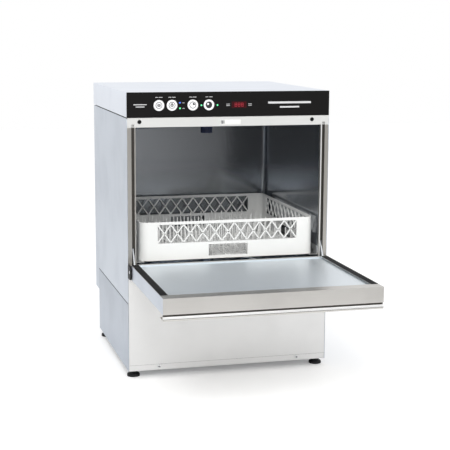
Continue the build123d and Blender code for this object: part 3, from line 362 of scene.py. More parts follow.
class Paints:
    """Builds each finish once and gives its material."""

    def __init__(self) -> None:
        """Build the shared groups and start with no materials."""
        self.groups = {"grain": grain_group(), "smudge": smudge_group()}
        self.made: dict[str, bpy.types.Material] = {}

    def material(self, finish: Finish) -> bpy.types.Material:
        """Give the material of a finish.

        Args:
            finish: The finish wanted.

        Returns:
            Its material, made on first use.
        """
        if finish.name not in self.made:
            self.made[finish.name] = finish.build(self.groups)
        return self.made[finish.name]

    def dress(self, piece: bpy.types.Object, finish: Finish) -> None:
        """Give a whole piece one finish.

        Args:
            piece: The mesh object.
            finish: Its finish.
        """
        piece.data.materials.clear()
        piece.data.materials.append(self.material(finish))

    def dress_faces(self, piece: bpy.types.Object, finish: Finish, low: Point, high: Point) -> None:
        """Give the faces whose middles lie in a box another finish.

        Args:
            piece: The mesh object.
            finish: The finish of those faces.
            low: The box's lowest corner.
            high: Its highest corner.
        """
        piece.data.materials.append(self.material(finish))
        index = len(piece.data.materials) - 1
        for face in piece.data.polygons:
            if all(a <= value <= b for a, value, b in zip(low, face.center, high)):
                face.material_index = index


# ---- Modelling helpers ----
def deselect() -> None:
    """Leave nothing selected."""
    bpy.ops.object.select_all(action="DESELECT")


def pick(piece: bpy.types.Object) -> None:
    """Select one object and make it active."""
    deselect()
    piece.select_set(True)
    bpy.context.view_layer.objects.active = piece


def settle(piece: bpy.types.Object, name: str) -> bpy.types.Object:
    """Name a piece and move its place into its mesh.

    Args:
        piece: The mesh object.
        name: Its new name.

    Returns:
        The same object.
    """
    pick(piece)
    bpy.ops.object.transform_apply(location=True, rotation=True, scale=True)
    piece.name = name
    piece.data.name = name
    return piece


def box(name: str, low: Point, high: Point) -> bpy.types.Object:
    """Add a box between two corners.

    Args:
        name: The piece's name.
        low: Its lowest corner.
        high: Its highest corner.

    Returns:
        The new object.
    """
    deselect()
    centre = [(a + b) / 2 for a, b in zip(low, high)]
    size = [b - a for a, b in zip(low, high)]
    bpy.ops.mesh.primitive_cube_add(size=1, location=centre, scale=size)
    return settle(bpy.context.object, name)


def round_bar(
    name: str, centre: Vector, radius: float, length: float, axis: Axis = Axis.Y, tip: float | None = None,
    sides: int = 48,
) -> bpy.types.Object:
    """Add a cylinder or a cone.

    Args:
        name: The piece's name.
        centre: The middle of its axis.
        radius: Its radius.
        length: Its length.
        axis: The direction of its axis.
        tip: Its radius at the far end, where it differs.
        sides: How many faces go round it.

    Returns:
        The new object.
    """
    deselect()
    turn = {Axis.X: (0, math.pi / 2, 0), Axis.Y: (math.pi / 2, 0, 0), Axis.Z: (0, 0, 0)}[axis]
    bpy.ops.mesh.primitive_cone_add(
        vertices=sides, radius1=radius, radius2=radius if tip is None else tip, depth=length, location=centre,
        rotation=turn,
    )
    return settle(bpy.context.object, name)


def apply_modifier(piece: bpy.types.Object, kind: str, **values: object) -> None:
    """Add a modifier and apply it.

    Args:
        piece: The mesh object.
        kind: The modifier's type.
        values: Its properties, by name.
    """
    pick(piece)
    modifier = piece.modifiers.new(kind.lower(), kind)
    for name, value in values.items():
        setattr(modifier, name, value)
    bpy.ops.object.modifier_apply(modifier=modifier.name)


def soften(piece: bpy.types.Object, width: float, segments: int = 2) -> None:
    """Round the sharp edges of a piece and shade it smoothly.

    Args:
        piece: The mesh object.
        width: The width of the rounding.
        segments: How many faces go across it.
    """
    apply_modifier(
        piece, "BEVEL", width=width, segments=segments, limit_method="ANGLE", angle_limit=SHARP,
        use_clamp_overlap=True, miter_outer="MITER_ARC",
    )
    pick(piece)
    bpy.ops.object.shade_smooth_by_angle(angle=SHARP)
    apply_modifier(piece, "WEIGHTED_NORMAL", weight=100, keep_sharp=True)


def split(piece: bpy.types.Object, at: Point, axis: Axis) -> None:
    """Divide the faces of a piece along a plane, without opening it.

    Args:
        piece: The mesh object.
        at: A point on the plane.
        axis: The plane's normal.
    """
    pick(piece)
    bpy.ops.object.mode_set(mode="EDIT")
    bpy.ops.mesh.select_all(action="SELECT")
    bpy.ops.mesh.bisect(plane_co=at, plane_no=tuple(float(axis.value == index) for index in range(3)))
    bpy.ops.object.mode_set(mode="OBJECT")


def repeat(piece: bpy.types.Object, count: int, step: Point) -> None:
    """Copy a piece's mesh in a row.

    Args:
        piece: The mesh object.
        count: How many there are in all.
        step: The offset from one to the next.
    """
    apply_modifier(
        piece, "ARRAY", count=count, use_relative_offset=False, use_constant_offset=True,
        constant_offset_displace=step,
    )


def cut(piece: bpy.types.Object, cutters: list[bpy.types.Object]) -> None:
    """Take the cutters' space out of a piece and remove them.

    Args:
        piece: The mesh object that is cut.
        cutters: Closed mesh objects.
    """
    for cutter in cutters:
        apply_modifier(piece, "BOOLEAN", operation="DIFFERENCE", object=cutter, solver="EXACT")
        bpy.data.objects.remove(cutter)


def join(pieces: list[bpy.types.Object], name: str) -> bpy.types.Object:
    """Join several meshes into one piece.

    Args:
        pieces: The mesh objects.
        name: The joined piece's name.

    Returns:
        The joined object.
    """
    deselect()
    for piece in pieces:
        piece.select_set(True)
    bpy.context.view_layer.objects.active = pieces[0]
    bpy.ops.object.join()
    return settle(pieces[0], name)


def clone(piece: bpy.types.Object, name: str, place: Matrix) -> bpy.types.Object:
    """Copy a piece with its own mesh and move the copy.

    Args:
        piece: The object copied.
        name: The copy's name.
        place: The move or turn, in the machine's frame.

    Returns:
        The copy.
    """
    other = piece.copy()
    other.data = piece.data.copy()
    bpy.context.scene.collection.objects.link(other)
    other.data.transform(place)
    other.name = name
    return other


def select_faces(piece: bpy.types.Object, axis: Axis, side: int) -> None:
    """Go into edit mode with only the faces selected whose normals point one way.

    Args:
        piece: The mesh object.
        axis: The direction looked at.
        side: 1 for the positive direction and -1 for the negative one.
    """
    pick(piece)
    chosen = [face.normal[axis.value] * side > 0.9 for face in piece.data.polygons]
    bpy.ops.object.mode_set(mode="EDIT")
    bpy.ops.mesh.select_mode(type="FACE")
    bpy.ops.mesh.select_all(action="DESELECT")
    bpy.ops.object.mode_set(mode="OBJECT")
    for face, wanted in zip(piece.data.polygons, chosen):
        face.select = wanted
    bpy.ops.object.mode_set(mode="EDIT")


@dataclass
class Assembly:
    """What every sub-assembly shares: its paints, and how its pieces are finished."""

    paints: Paints

    def mount(
        self, piece: bpy.types.Object, body: str, finish: Finish, slot: str, nodes: tuple[str, ...] = ()
    ) -> bpy.types.Object:
        """Dress a piece and fix it to a body.

        Args:
            piece: The mesh object.
            body: The body that it moves with.
            finish: Its finish.
            slot: The record's material slot; it is not used.
            nodes: The frame's nodes that it stands for.

        Returns:
            The same object.
        """
        self.paints.dress(piece, finish)
        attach(piece, body)
        if nodes:
            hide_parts(*nodes)
        LOG.info("%s rides on %s", piece.name, body)
        return piece

    def rounded(self, node: str, name: str, width: float, segments: int = 2) -> bpy.types.Object:
        """Copy a node of the frame, merge it into flat faces and round its edges.

        Args:
            node: The node's name.
            name: The new piece's name.
            width: The width of the rounding.
            segments: How many faces go across it.

        Returns:
            The new object.
        """
        source = bpy.data.objects[node]
        piece = bpy.data.objects.new(name, source.data.copy())
        bpy.context.scene.collection.objects.link(piece)
        pick(piece)
        bpy.ops.object.mode_set(mode="EDIT")
        bpy.ops.mesh.select_all(action="SELECT")
        bpy.ops.mesh.remove_doubles(threshold=MERGE)
        bpy.ops.mesh.dissolve_limited(angle_limit=FLAT)
        bpy.ops.object.mode_set(mode="OBJECT")
        soften(piece, width, segments)
        return settle(piece, name)


@dataclass
class Cabinet(Assembly):
    """The outer panels, the feet, and the details of the seams and the service panel."""

    sheet_edge: float = 0.5 * MM
    foot_edge: float = 1.2 * MM
    screw_edge: float = 0.3 * MM
    strip_edge: float = 0.1 * MM
    seam: float = 1.3 * MM
    seam_reach: float = 2.5 * MM
    seam_middle: float = 0.25 * MM
    strip_depths: tuple[float, float] = (1.4 * MM, 0.9 * MM)
    strip_ends: tuple[float, float] = (4 * MM, 2 * MM)
    strip_half: float = 2.2 * MM
    slot_share: float = 0.66
    slot_half: float = 0.7 * MM
    slot_y: tuple[float, float] = (-0.05 * MM, 0.4 * MM)
    plinth_h: float = 17 * MM
    fold_inset: float = 1.0 * MM
    fold_y: tuple[float, float] = (0.2 * MM, 0.55 * MM)
    fold_z: tuple[float, float] = (-0.9 * MM, 0.1 * MM)

    def seam_heights(self) -> tuple[float, float]:
        """Give the heights of the seams below and above the side panels."""
        low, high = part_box("side_panel_left")
        return low.z - self.seam_middle, high.z + self.seam_middle

    def open_seams(self, piece: bpy.types.Object) -> None:
        """Draw a panel's edges back from the seams, so that each seam reads as a dark line.

        Args:
            piece: The panel.
        """
        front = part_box("side_panel_left")[0].y - MM
        for height in self.seam_heights():
            for vertex in piece.data.vertices:
                away = vertex.co.z - height
                if abs(away) < self.seam_reach and vertex.co.y > front:
                    vertex.co.z += math.copysign(self.seam, away) * (1 - abs(away) / self.seam_reach)

    def seam_shadow_strips(self) -> None:
        """Put a black strip behind each seam as painted shade, so that the seam shows dark."""
        low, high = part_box("side_panel_left")
        front, back = low.y + self.strip_ends[0], high.y - self.strip_ends[1]
        strips = []
        for height in self.seam_heights():
            bottom, top = height - self.strip_half, height + self.strip_half
            for side in (-1, 1):
                near, far = sorted(side * (-low.x - depth) for depth in self.strip_depths)
                strips.append(box("strip", (near, front, bottom), (far, back, top)))
        piece = join(strips, "seam_shadow_strips")
        soften(piece, self.strip_edge, 1)
        # Painted shade: the black strips stand for the shade inside the seams
        self.mount(piece, "cabinet", BLACK_RUBBER_AND_SEAM_SHADE, "black_rubber")

    def build(self) -> None:
        """Make and dress the outer panels and the feet."""
        # Each panel takes its steel copy, with that copy's painted light, shade or reflection
        panels = (
            ("base_wrap", STEEL_BASE_PAINTED_SHADE), ("side_panel_left", STEEL_SIDE_PAINTED_REFLECTION), ("side_panel_right", STEEL_SIDE_PAINTED_REFLECTION),
            ("rear_cover", STEEL_SIDE_PAINTED_REFLECTION), ("top_cover", STEEL_TOP_PAINTED_LIGHT), ("service_panel", STEEL_PANEL_AND_NOSE_HIGHLIGHT),
        )
        for node, finish in panels:
            piece = self.rounded(node, f"{node}_skin", self.sheet_edge)
            self.open_seams(piece)
            self.mount(piece, "cabinet", finish, "stainless_panel", (node,))
        self.seam_shadow_strips()
        for end in ("front", "rear"):
            for side in ("left", "right"):
                node = f"foot_{end}_{side}"
                piece = self.rounded(node, f"{node}_pad", self.foot_edge, 3)
                self.mount(piece, node, BLACK_PLASTIC, "black_plastic", (node,))
        screws = self.rounded("service_panel_screws", "service_screws", self.screw_edge)
        self.mount(screws, "cabinet", STEEL_BRIGHT, "polished_steel", ("service_panel_screws",))
        self.painted_screw_slot_shadows()
        self.fold_shadow_line()

    def painted_screw_slot_shadows(self) -> None:
        """Cross the head of each service screw with dark bars as painted shade of its driver slot."""
        low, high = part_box("service_panel_screws")
        radius = (high.z - low.z) / 2
        reach = self.slot_share * radius
        front, back = (low.y + offset for offset in self.slot_y)
        z = low.z + radius
        slots = []
        for x in (low.x + radius, high.x - radius):
            for wide, tall in ((reach, self.slot_half), (self.slot_half, reach)):
                slots.append(box("slot", (x - wide, front, z - tall), (x + wide, back, z + tall)))
        piece = join(slots, "service_screw_slot_shadows")
        soften(piece, self.strip_edge, 1)
        # Painted shade: the dark bars stand for the shade in the slots
        self.mount(piece, "cabinet", PRINT_DARK_AND_SLOT_SHADE, "polished_steel")

    def fold_shadow_line(self) -> None:
        """Paint the shade of the crease, where the foot of the service panel is set back, as a thin dark
        strip.
        """
        low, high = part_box("service_panel")
        z = low.z + self.plinth_h
        near = (low.x + self.fold_inset, low.y + self.fold_y[0], z + self.fold_z[0])
        far = (high.x - self.fold_inset, low.y + self.fold_y[1], z + self.fold_z[1])
        piece = box("service_fold_shadow_strip", near, far)
        soften(piece, self.strip_edge, 1)
        # Painted shade: the strip takes the dark steel
        self.mount(piece, "cabinet", STEEL_SHADOW, "stainless_panel")


@dataclass
class DoorFrame(Assembly):
    """The steel frame round the opening, with its catch, bumpers and hinge brackets."""

    frame_edge: float = 0.5 * MM
    bracket_edge: float = 1.0 * MM
    small_edge: float = 0.4 * MM
    lintel_h: float = 26 * MM
    groove_x: tuple[float, float] = (266.2 * MM, 275.0 * MM)
    groove_depth: float = 0.5 * MM
    lip_x: float = 262.0 * MM
    lip_depth: float = 0.7 * MM
    catch_edge: float = 0.9 * MM
    pocket_at: float = 7 * MM
    pocket_half: float = 5 * MM
    pocket_depth: float = 7 * MM
    pocket_wall: float = 2 * MM
    roller_r: float = 4 * MM
    roller_at: float = 4.2 * MM
    roller_short: float = 4.6 * MM
    roller_edge: float = 0.6 * MM

    def build(self) -> None:
        """Make and dress the frame and what it carries."""
        parts = (
            ("front_frame", self.frame_edge, STEEL_FRAME_PAINTED_REFLECTION, "warm_steel"),
            ("hinge_brackets", self.bracket_edge, BLACK_PLASTIC, "black_plastic"),
            ("hinge_pins", self.small_edge, STEEL_BRIGHT, "polished_steel"),
            ("lintel_bumpers", self.small_edge, BLACK_RUBBER_AND_SEAM_SHADE, "black_rubber"),
        )
        for node, width, finish, slot in parts:
            piece = self.rounded(node, f"{node}_finished", width)
            self.mount(piece, "cabinet", finish, slot, (node,))
            if node == "front_frame":
                self.shade_frame(piece)
        self.catch()

    def shade_frame(self, piece: bpy.types.Object) -> None:
        """Paint the lintel and the lips lighter as painted light and highlight, and the lever grooves dark as
        painted shade.

        Args:
            piece: The frame.
        """
        low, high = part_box("front_frame")
        lintel_z = high.z - self.lintel_h
        split(piece, (0, 0, lintel_z), Axis.Z)
        for side in (-1, 1):
            split(piece, (side * self.groove_x[0], 0, 0), Axis.X)
        apply_modifier(piece, "WEIGHTED_NORMAL", weight=100, keep_sharp=True)
        front = low.y - MM
        # Painted light and highlight: the lintel and the lips are given the lighter steel
        self.paints.dress_faces(piece, STEEL_LINTEL_PAINTED_LIGHT, (low.x, front, lintel_z), (high.x, high.y, high.z))
        for side in (-1, 1):
            near, far = sorted(side * x for x in (self.lip_x, self.groove_x[0]))
            self.paints.dress_faces(
                piece, STEEL_LINTEL_PAINTED_LIGHT, (near, front, low.z), (far, low.y + self.lip_depth, high.z)
            )
            # Painted shade: the lever grooves are given the dark steel
            near, far = sorted(side * x for x in self.groove_x)
            self.paints.dress_faces(
                piece, STEEL_SHADOW, (near, low.y + self.groove_depth, low.z), (far, high.y + MM, lintel_z)
            )

    def catch(self) -> None:
        """Make the white door catch and its small steel roller."""
        low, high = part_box("door_catch")
        body = box("door_catch_block", low, high)
        x = low.x + self.pocket_at
        near = (x - self.pocket_half, low.y - MM, low.z + self.pocket_wall)
        far = (x + self.pocket_half, low.y + self.pocket_depth, high.z - self.pocket_wall)
        cut(body, [box("pocket", near, far)])
        soften(body, self.catch_edge, 3)
        self.mount(body, "cabinet", WHITE_PLASTIC, "white_plastic", ("door_catch",))
        middle = Vector((x, low.y + self.roller_at, (low.z + high.z) / 2))
        length = high.z - low.z - self.roller_short
        roller = round_bar("door_catch_roller", middle, self.roller_r, length, Axis.Z)
        soften(roller, self.roller_edge)
        self.mount(roller, "cabinet", STEEL_BRIGHT, "polished_steel")


@dataclass
class Door(Assembly):
    """The drop-down door: outer panel, pressed liner, seals, levers and handle strip."""

    panel_edge: float = 0.8 * MM
    side_skin: float = 0.3 * MM
    handle_edge: float = 0.5 * MM
    nose_line: float = 5.5 * MM
    nose_depth: float = 0.9 * MM
    nose_top: float = 5 * MM
    grip_y: tuple[float, float] = (3 * MM, 12 * MM)
    sheet: float = 1.5 * MM
    liner_border: float = 20 * MM
    liner_slope: float = 2.5 * MM
    liner_rise: float = 1.1 * MM
    liner_edge: float = 0.7 * MM
    seal_inner: float = 262 * MM
    seal_sink: float = 0.35 * MM
    seal_edge: float = 0.3 * MM
    seal_ribs: int = 2

    def build(self) -> None:
        """Make and dress the door's pieces."""
        self.panel()
        self.handle()
        levers = self.rounded("door_levers", "door_lever_arms", self.handle_edge)
        self.mount(levers, "door", GALVANISED, "galvanised", ("door_levers",))
        self.liner()
        self.seals()

    def panel(self) -> None:
        """Make the outer panel, whose two side faces get the cabinet sides' bluish steel as painted
        reflection.
        """
        piece = self.rounded("door_outer_panel", "door_panel", self.panel_edge, 3)
        self.mount(piece, "door", STEEL_DOOR_PAINTED_REFLECTION, "warm_steel", ("door_outer_panel",))
        low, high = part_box("door_outer_panel")
        slack = MM / 10
        # Painted reflection: the side faces are given the bluish steel of the cabinet's sides
        for side in (-1, 1):
            near, far = sorted((side * (high.x - self.side_skin), side * high.x))
            self.paints.dress_faces(
                piece, STEEL_SIDE_PAINTED_REFLECTION, (near - slack, low.y + 2 * MM, low.z), (far + slack, high.y, high.z)
            )

    def handle(self) -> None:
        """Make the handle strip, with its nose painted lighter as painted highlight, a line cut along it and
        painted shade in that line and in the grip groove.
        """
        piece = self.rounded("door_handle", "door_handle_strip", self.handle_edge, 2)
        low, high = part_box("door_handle")
        line_z = low.z + self.nose_line
        near = (low.x - MM, low.y - MM, line_z - MM)
        cut(piece, [box("line", near, (high.x + MM, low.y + self.nose_depth, line_z))])
        self.mount(piece, "door", STEEL_DOOR_PAINTED_REFLECTION, "warm_steel", ("door_handle",))
        top = high.z - self.nose_top
        front, back = (low.y + depth for depth in self.grip_y)
        # The nose gets the lighter steel as painted highlight; the cut line and the grip groove get the dark
        # steel as painted shade
        for finish, first, last in (
            (STEEL_PANEL_AND_NOSE_HIGHLIGHT, (low.x, low.y - MM, line_z), (high.x, low.y + 2 * MM, top)),
            (STEEL_SHADOW, (low.x, low.y + MM / 2, line_z - MM), (high.x, low.y + MM, line_z)),
            (STEEL_SHADOW, (low.x + MM, front, top), (high.x - MM, back, high.z)),
        ):
            self.paints.dress_faces(piece, finish, first, last)

    def liner(self) -> None:
        """Press the liner: a sheet with a raised field inside a narrow border."""
        low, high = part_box("door_liner")
        sheet_z = low.z + self.sheet
        piece = box("door_liner_pressing", (low.x, low.y, low.z), (high.x, high.y, sheet_z))
        select_faces(piece, Axis.Z, 1)
        bpy.ops.mesh.inset(thickness=self.liner_border)
        bpy.ops.mesh.inset(thickness=self.liner_slope)
        bpy.ops.transform.translate(value=(0, 0, self.liner_rise))
        bpy.ops.object.mode_set(mode="OBJECT")
        soften(piece, self.liner_edge, 3)
        left, right = low.x + self.sheet, high.x - self.sheet
        front, back = low.y + self.sheet, high.y - self.sheet
        spans = (
            ((low.x, low.y), (high.x, front)), ((low.x, back), (high.x, high.y)),
            ((low.x, front), (left, back)), ((right, front), (high.x, back)),
        )
        rim = [box("liner_rim", (*near, sheet_z), (*far, high.z)) for near, far in spans]
        piece = join([piece, *rim], "door_liner_pressing")
        self.mount(piece, "door", STEEL_LINER, "polished_steel", ("door_liner",))

    def seals(self) -> None:
        """Make the seal strips, each with low ribs along it."""
        low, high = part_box("door_seals")
        width = (high.x - self.seal_inner) / (2 * self.seal_ribs + 1)
        strips = []
        for side in (-1, 1):
            near, far = sorted((side * self.seal_inner, side * high.x))
            strips.append(box("strip", (near, low.y, low.z), (far, high.y, high.z - self.seal_sink)))
            for rib in range(self.seal_ribs):
                left = near + width * (2 * rib + 1)
                strips.append(box("bead", (left, low.y + MM, low.z), (left + width, high.y - MM, high.z)))
        for strip in strips:
            soften(strip, self.seal_edge)
        piece = join(strips, "door_seal_strips")
        self.mount(piece, "door", BLACK_RUBBER_AND_SEAM_SHADE, "black_rubber", ("door_seals",))


@dataclass
class Rack(Assembly):
    """The square plastic dish rack."""

    wall: float = 4.5 * MM
    corner: float = 24 * MM
    window: tuple[float, float] = (400 * MM, 50 * MM)
    window_drop: float = 8 * MM
    wall_edge: float = 1.0 * MM
    cells: int = 11
    bar: float = 3.6 * MM
    bar_share: float = 0.7
    bar_over: float = 2 * MM
    bar_edge: float = 0.5 * MM
    grip: tuple[float, float] = (112 * MM, 32 * MM)
    grip_rise: float = 8 * MM
    floor_bars: int = 19
    floor_h: float = 4.5 * MM
    floor_step: float = 0.4 * MM
    pegs: tuple[int, int] = (13, 9)
    peg_field_w: float = 400 * MM
    peg_height: float = 62 * MM
    peg_radii: tuple[float, float] = (3.0 * MM, 2.0 * MM)
    peg_edge: float = 0.8 * MM

    def build(self) -> None:
        """Make the walls, lattices, floor and pegs, and join them into one moulding."""
        low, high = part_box("rack")
        middle = (low + high) / 2
        there, back = Matrix.Translation(middle), Matrix.Translation(-middle)
        lattice = self.lattice_row(low, high)
        parts = [self.walls(low, high, middle), lattice]
        for index in range(1, 4):
            turn = there @ Matrix.Rotation(index * math.pi / 2, 4, "Z") @ back
            parts.append(clone(lattice, f"lattice_{index}", turn))
        parts.extend(self.floor(low, high))
        parts.append(self.peg_field(low, middle))
        piece = join(parts, "rack_moulding")
        self.mount(piece, "rack", WHITE_PLASTIC, "white_plastic", ("rack",))

    def walls(self, low: Vector, high: Vector, middle: Vector) -> bpy.types.Object:
        """Make the rounded wall with its windows and hand grips.

        Args:
            low: The rack's lowest corner.
            high: Its highest corner.
            middle: Its centre.

        Returns:
            The wall.
        """
        shell = box("rack_wall", low, high)
        pick(shell)
        bpy.ops.object.mode_set(mode="EDIT")
        bpy.ops.mesh.select_mode(type="EDGE")
        bpy.ops.mesh.select_all(action="DESELECT")
        bpy.ops.object.mode_set(mode="OBJECT")
        for edge in shell.data.edges:
            ends = [shell.data.vertices[index].co for index in edge.vertices]
            edge.select = abs(ends[0].z - ends[1].z) > self.wall
        bpy.ops.object.mode_set(mode="EDIT")
        bpy.ops.mesh.bevel(offset=self.corner, segments=8, affect="EDGES")
        bpy.ops.object.mode_set(mode="OBJECT")
        for side in (1, -1):
            select_faces(shell, Axis.Z, side)
            bpy.ops.mesh.delete(type="FACE")
            bpy.ops.object.mode_set(mode="OBJECT")
        apply_modifier(shell, "SOLIDIFY", thickness=self.wall, offset=-1.0)
        reach = high.x - low.x
        cutters = []
        top = high.z - self.window_drop
        for wide, bottom, upper in (
            (self.window[0], top - self.window[1], top),
            (self.grip[0], low.z + self.grip_rise, low.z + self.grip_rise + self.grip[1]),
        ):
            half = wide / 2
            cutters.append(box("cutter", (-half, middle.y - reach, bottom), (half, middle.y + reach, upper)))
            cutters.append(box("cutter", (-reach, middle.y - half, bottom), (reach, middle.y + half, upper)))
        cut(shell, cutters)
        soften(shell, self.wall_edge, 2)
        return shell

    def lattice_row(self, low: Vector, high: Vector) -> bpy.types.Object:
        """Make the row of crossed bars that fills the front window.

        Args:
            low: The rack's lowest corner.
            high: Its highest corner.

        Returns:
            The lattice.
        """
        pitch = self.window[0] / self.cells
        height = self.window[1]
        slope = math.atan2(height, pitch)
        length = math.hypot(height, pitch) + self.bar_over
        x, z = -self.window[0] / 2 + pitch / 2, high.z - self.window_drop - height / 2
        size = (length, self.wall * self.bar_share, self.bar)
        bars = []
        for lean in (-1, 1):
            deselect()
            bpy.ops.mesh.primitive_cube_add(
                size=1, location=(x, low.y + self.wall / 2, z), scale=size, rotation=(0, lean * slope, 0)
            )
            bars.append(settle(bpy.context.object, "lattice_bar"))
        row = join(bars, "lattice")
        repeat(row, self.cells, (pitch, 0, 0))
        soften(row, self.bar_edge, 1)
        return row

    def floor(self, low: Vector, high: Vector) -> list[bpy.types.Object]:
        """Make the open mesh floor.

        Args:
            low: The rack's lowest corner.
            high: Its highest corner.

        Returns:
            The bars along X and the bars along Y.
        """
        span = high.x - low.x - 2 * self.wall
        pitch = span / (self.floor_bars + 1)
        x, y = low.x + self.wall, low.y + self.wall
        half = self.bar / 2
        top = low.z + self.floor_h
        along = box("floor_x", (x, y + pitch - half, low.z), (x + span, y + pitch + half, top))
        repeat(along, self.floor_bars, (0, pitch, 0))
        top -= self.floor_step
        across = box("floor_y", (x + pitch - half, y, low.z), (x + pitch + half, y + span, top))
        repeat(across, self.floor_bars, (pitch, 0, 0))
        return [along, across]

    def peg_field(self, low: Vector, middle: Vector) -> bpy.types.Object:
        """Make the rows of tapered pegs that hold plates upright.

        Args:
            low: The rack's lowest corner.
            middle: Its centre.

        Returns:
            The pegs.
        """
        columns, rows = self.pegs
        half = self.peg_field_w / 2
        centre = Vector((middle.x - half, middle.y - half, low.z + self.peg_height / 2))
        radius, tip = self.peg_radii
        peg = round_bar("pegs", centre, radius, self.peg_height, Axis.Z, tip, 8)
        soften(peg, self.peg_edge, 1)
        repeat(peg, columns, (self.peg_field_w / (columns - 1), 0, 0))
        repeat(peg, rows, (0, self.peg_field_w / (rows - 1), 0))
        return peg


class Mark(Enum):
    """The plain signs printed on the buttons, named by their shapes."""

    BARS = "bars"
    POWER = "power"
    TIMER = "timer"
    DISC = "disc"


@dataclass
class ControlPanel(Assembly):
    """The black fascia with its buttons, lamps, display and plain printed signs."""

    sheet_edge: float = 0.5 * MM
    cap_t: float = 4 * MM
    cap_edge: float = 0.7 * MM
    ring_w: float = 4.4 * MM
    ring_slope: float = 0.8 * MM
    dish: float = 0.6 * MM
    stalk_r: float = 4 * MM
    circle_gap: float = 0.9 * MM
    circle_w: float = 1.9 * MM
    lamp_r: float = 2.3 * MM
    lamp_edge: float = 0.25 * MM
    third_lamp_x: float = 59.5 * MM
    right_lamp_rise: float = 7.5 * MM
    glass_edge: float = 0.3 * MM
    figure_w: float = 5.4 * MM
    figure_h: float = 9 * MM
    figure_line: float = 1.1 * MM
    figure_pitch: float = 9 * MM
    print_t: float = 0.12 * MM
    dash_half: float = 0.6 * MM
    label_rise: float = 7 * MM
    label_half: float = 0.7 * MM
    label_words: tuple = ((-6 * MM, 4 * MM), (5 * MM, 5 * MM))
    left_lines_x: float = 36 * MM
    left_lines: tuple = ((3 * MM, 18 * MM), (-3 * MM, 12 * MM))
    left_half: float = 1.1 * MM
    badge: tuple = ((170 * MM, 758.75 * MM, 62 * MM, 2.75 * MM), (170 * MM, 746.5 * MM, 28 * MM, 2 * MM))
    marks: dict[str, Mark] = field(
        default_factory=lambda: {
            "button_power": Mark.BARS, "button_drain": Mark.POWER,
            "button_cycle": Mark.TIMER, "button_start": Mark.DISC,
        }
    )

    def build(self) -> None:
        """Make and dress everything on the control panel."""
        fascia = self.rounded("control_fascia", "control_fascia_sheet", self.sheet_edge)
        self.mount(fascia, "cabinet", FASCIA_BLACK, "fascia_black", ("control_fascia",))
        for node, mark in self.marks.items():
            self.button(node, mark)
        self.lamps()
        self.display()
        self.printing()

    def button(self, node: str, mark: Mark) -> None:
        """Make a round button with a bright ring, a sunk centre and its sign.

        Args:
            node: The button's node and body.
            mark: The sign on it.
        """
        low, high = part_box(node)
        radius = (high.x - low.x) / 2
        x, z = (low.x + high.x) / 2, (low.z + high.z) / 2
        cap = round_bar(f"{node}_cap", Vector((x, low.y + self.cap_t / 2, z)), radius, self.cap_t, sides=64)
        select_faces(cap, Axis.Y, -1)
        bpy.ops.mesh.inset(thickness=self.ring_w)
        bpy.ops.mesh.inset(thickness=self.ring_slope)
        bpy.ops.transform.translate(value=(0, self.dish, 0))
        bpy.ops.object.mode_set(mode="OBJECT")
        soften(cap, self.cap_edge, 3)
        length = high.y - low.y - self.cap_t
        stalk = round_bar("stalk", Vector((x, high.y - length / 2, z)), self.stalk_r, length)
        cap = join([cap, stalk], f"{node}_cap")
        self.mount(cap, node, BUTTON_WHITE, "button_white", (node,))
        face = Vector((x, low.y + self.dish, z))
        circle = self.ring(face, radius - self.ring_w - self.circle_gap, self.circle_w)
        self.mount(settle(circle, f"{node}_circle"), node, PRINT_GREY, "button_white")
        sign = self.sign(mark, face, f"{node}_sign")
        self.mount(sign, node, PRINT_DARK_AND_SLOT_SHADE, "button_white")

    def ring(self, at: Vector, radius: float, width: float) -> bpy.types.Object:
        """Make a flat printed ring that faces the front.

        Args:
            at: Its centre on the surface.
            radius: Its outer radius.
            width: The width of its line.

        Returns:
            The ring.
        """
        ring = round_bar("ring", at, radius, 2 * self.print_t)
        cut(ring, [round_bar("hole", at, radius - width, MM)])
        return ring

    def dash(self, front: float, x: float, z: float, half_w: float, half_h: float) -> bpy.types.Object:
        """Make a flat printed dash that faces the front.

        Args:
            front: The printed surface's place along Y.
            x: The dash's middle along X.
            z: Its middle along Z.
            half_w: Half of its width.
            half_h: Half of its height.

        Returns:
            The dash.
        """
        low = (x - half_w, front - self.print_t, z - half_h)
        return box("dash", low, (x + half_w, front + self.print_t, z + half_h))

    def sign(self, mark: Mark, at: Vector, name: str) -> bpy.types.Object:
        """Make a plain printed sign.

        Args:
            mark: Which sign.
            at: Its centre on the surface.
            name: The piece's name.

        Returns:
            The sign.
        """
        thick = 2 * self.print_t
        if mark is Mark.POWER:
            ring = self.ring(at, 4.6 * MM, 1.4 * MM)
            return join([ring, self.dash(at.y, at.x, at.z + 1.75 * MM, 1.3 * MM, 3.75 * MM)], name)
        if mark is Mark.BARS:
            rows = ((-3.2 * MM, 4 * MM), (0.0, 5 * MM), (3.2 * MM, 4 * MM))
            return join([self.dash(at.y, at.x, at.z + rise, half, MM) for rise, half in rows], name)
        if mark is Mark.TIMER:
            disc = round_bar("disc", at, 6.0 * MM, thick, sides=32)
            corner = (at.x - 7 * MM, at.y - MM, at.z - 7 * MM)
            for far_x, far_z in ((at.x, at.z + 7 * MM), (at.x + 7 * MM, at.z)):
                cut(disc, [box("cutter", corner, (far_x, at.y + MM, far_z))])
            return settle(disc, name)
        disc = round_bar("disc", at, 8.4 * MM, thick, sides=40)
        cut(disc, [round_bar("spot", at + Vector((-2.6 * MM, 0, 2.6 * MM)), 2.8 * MM, MM, sides=24)])
        return settle(disc, name)

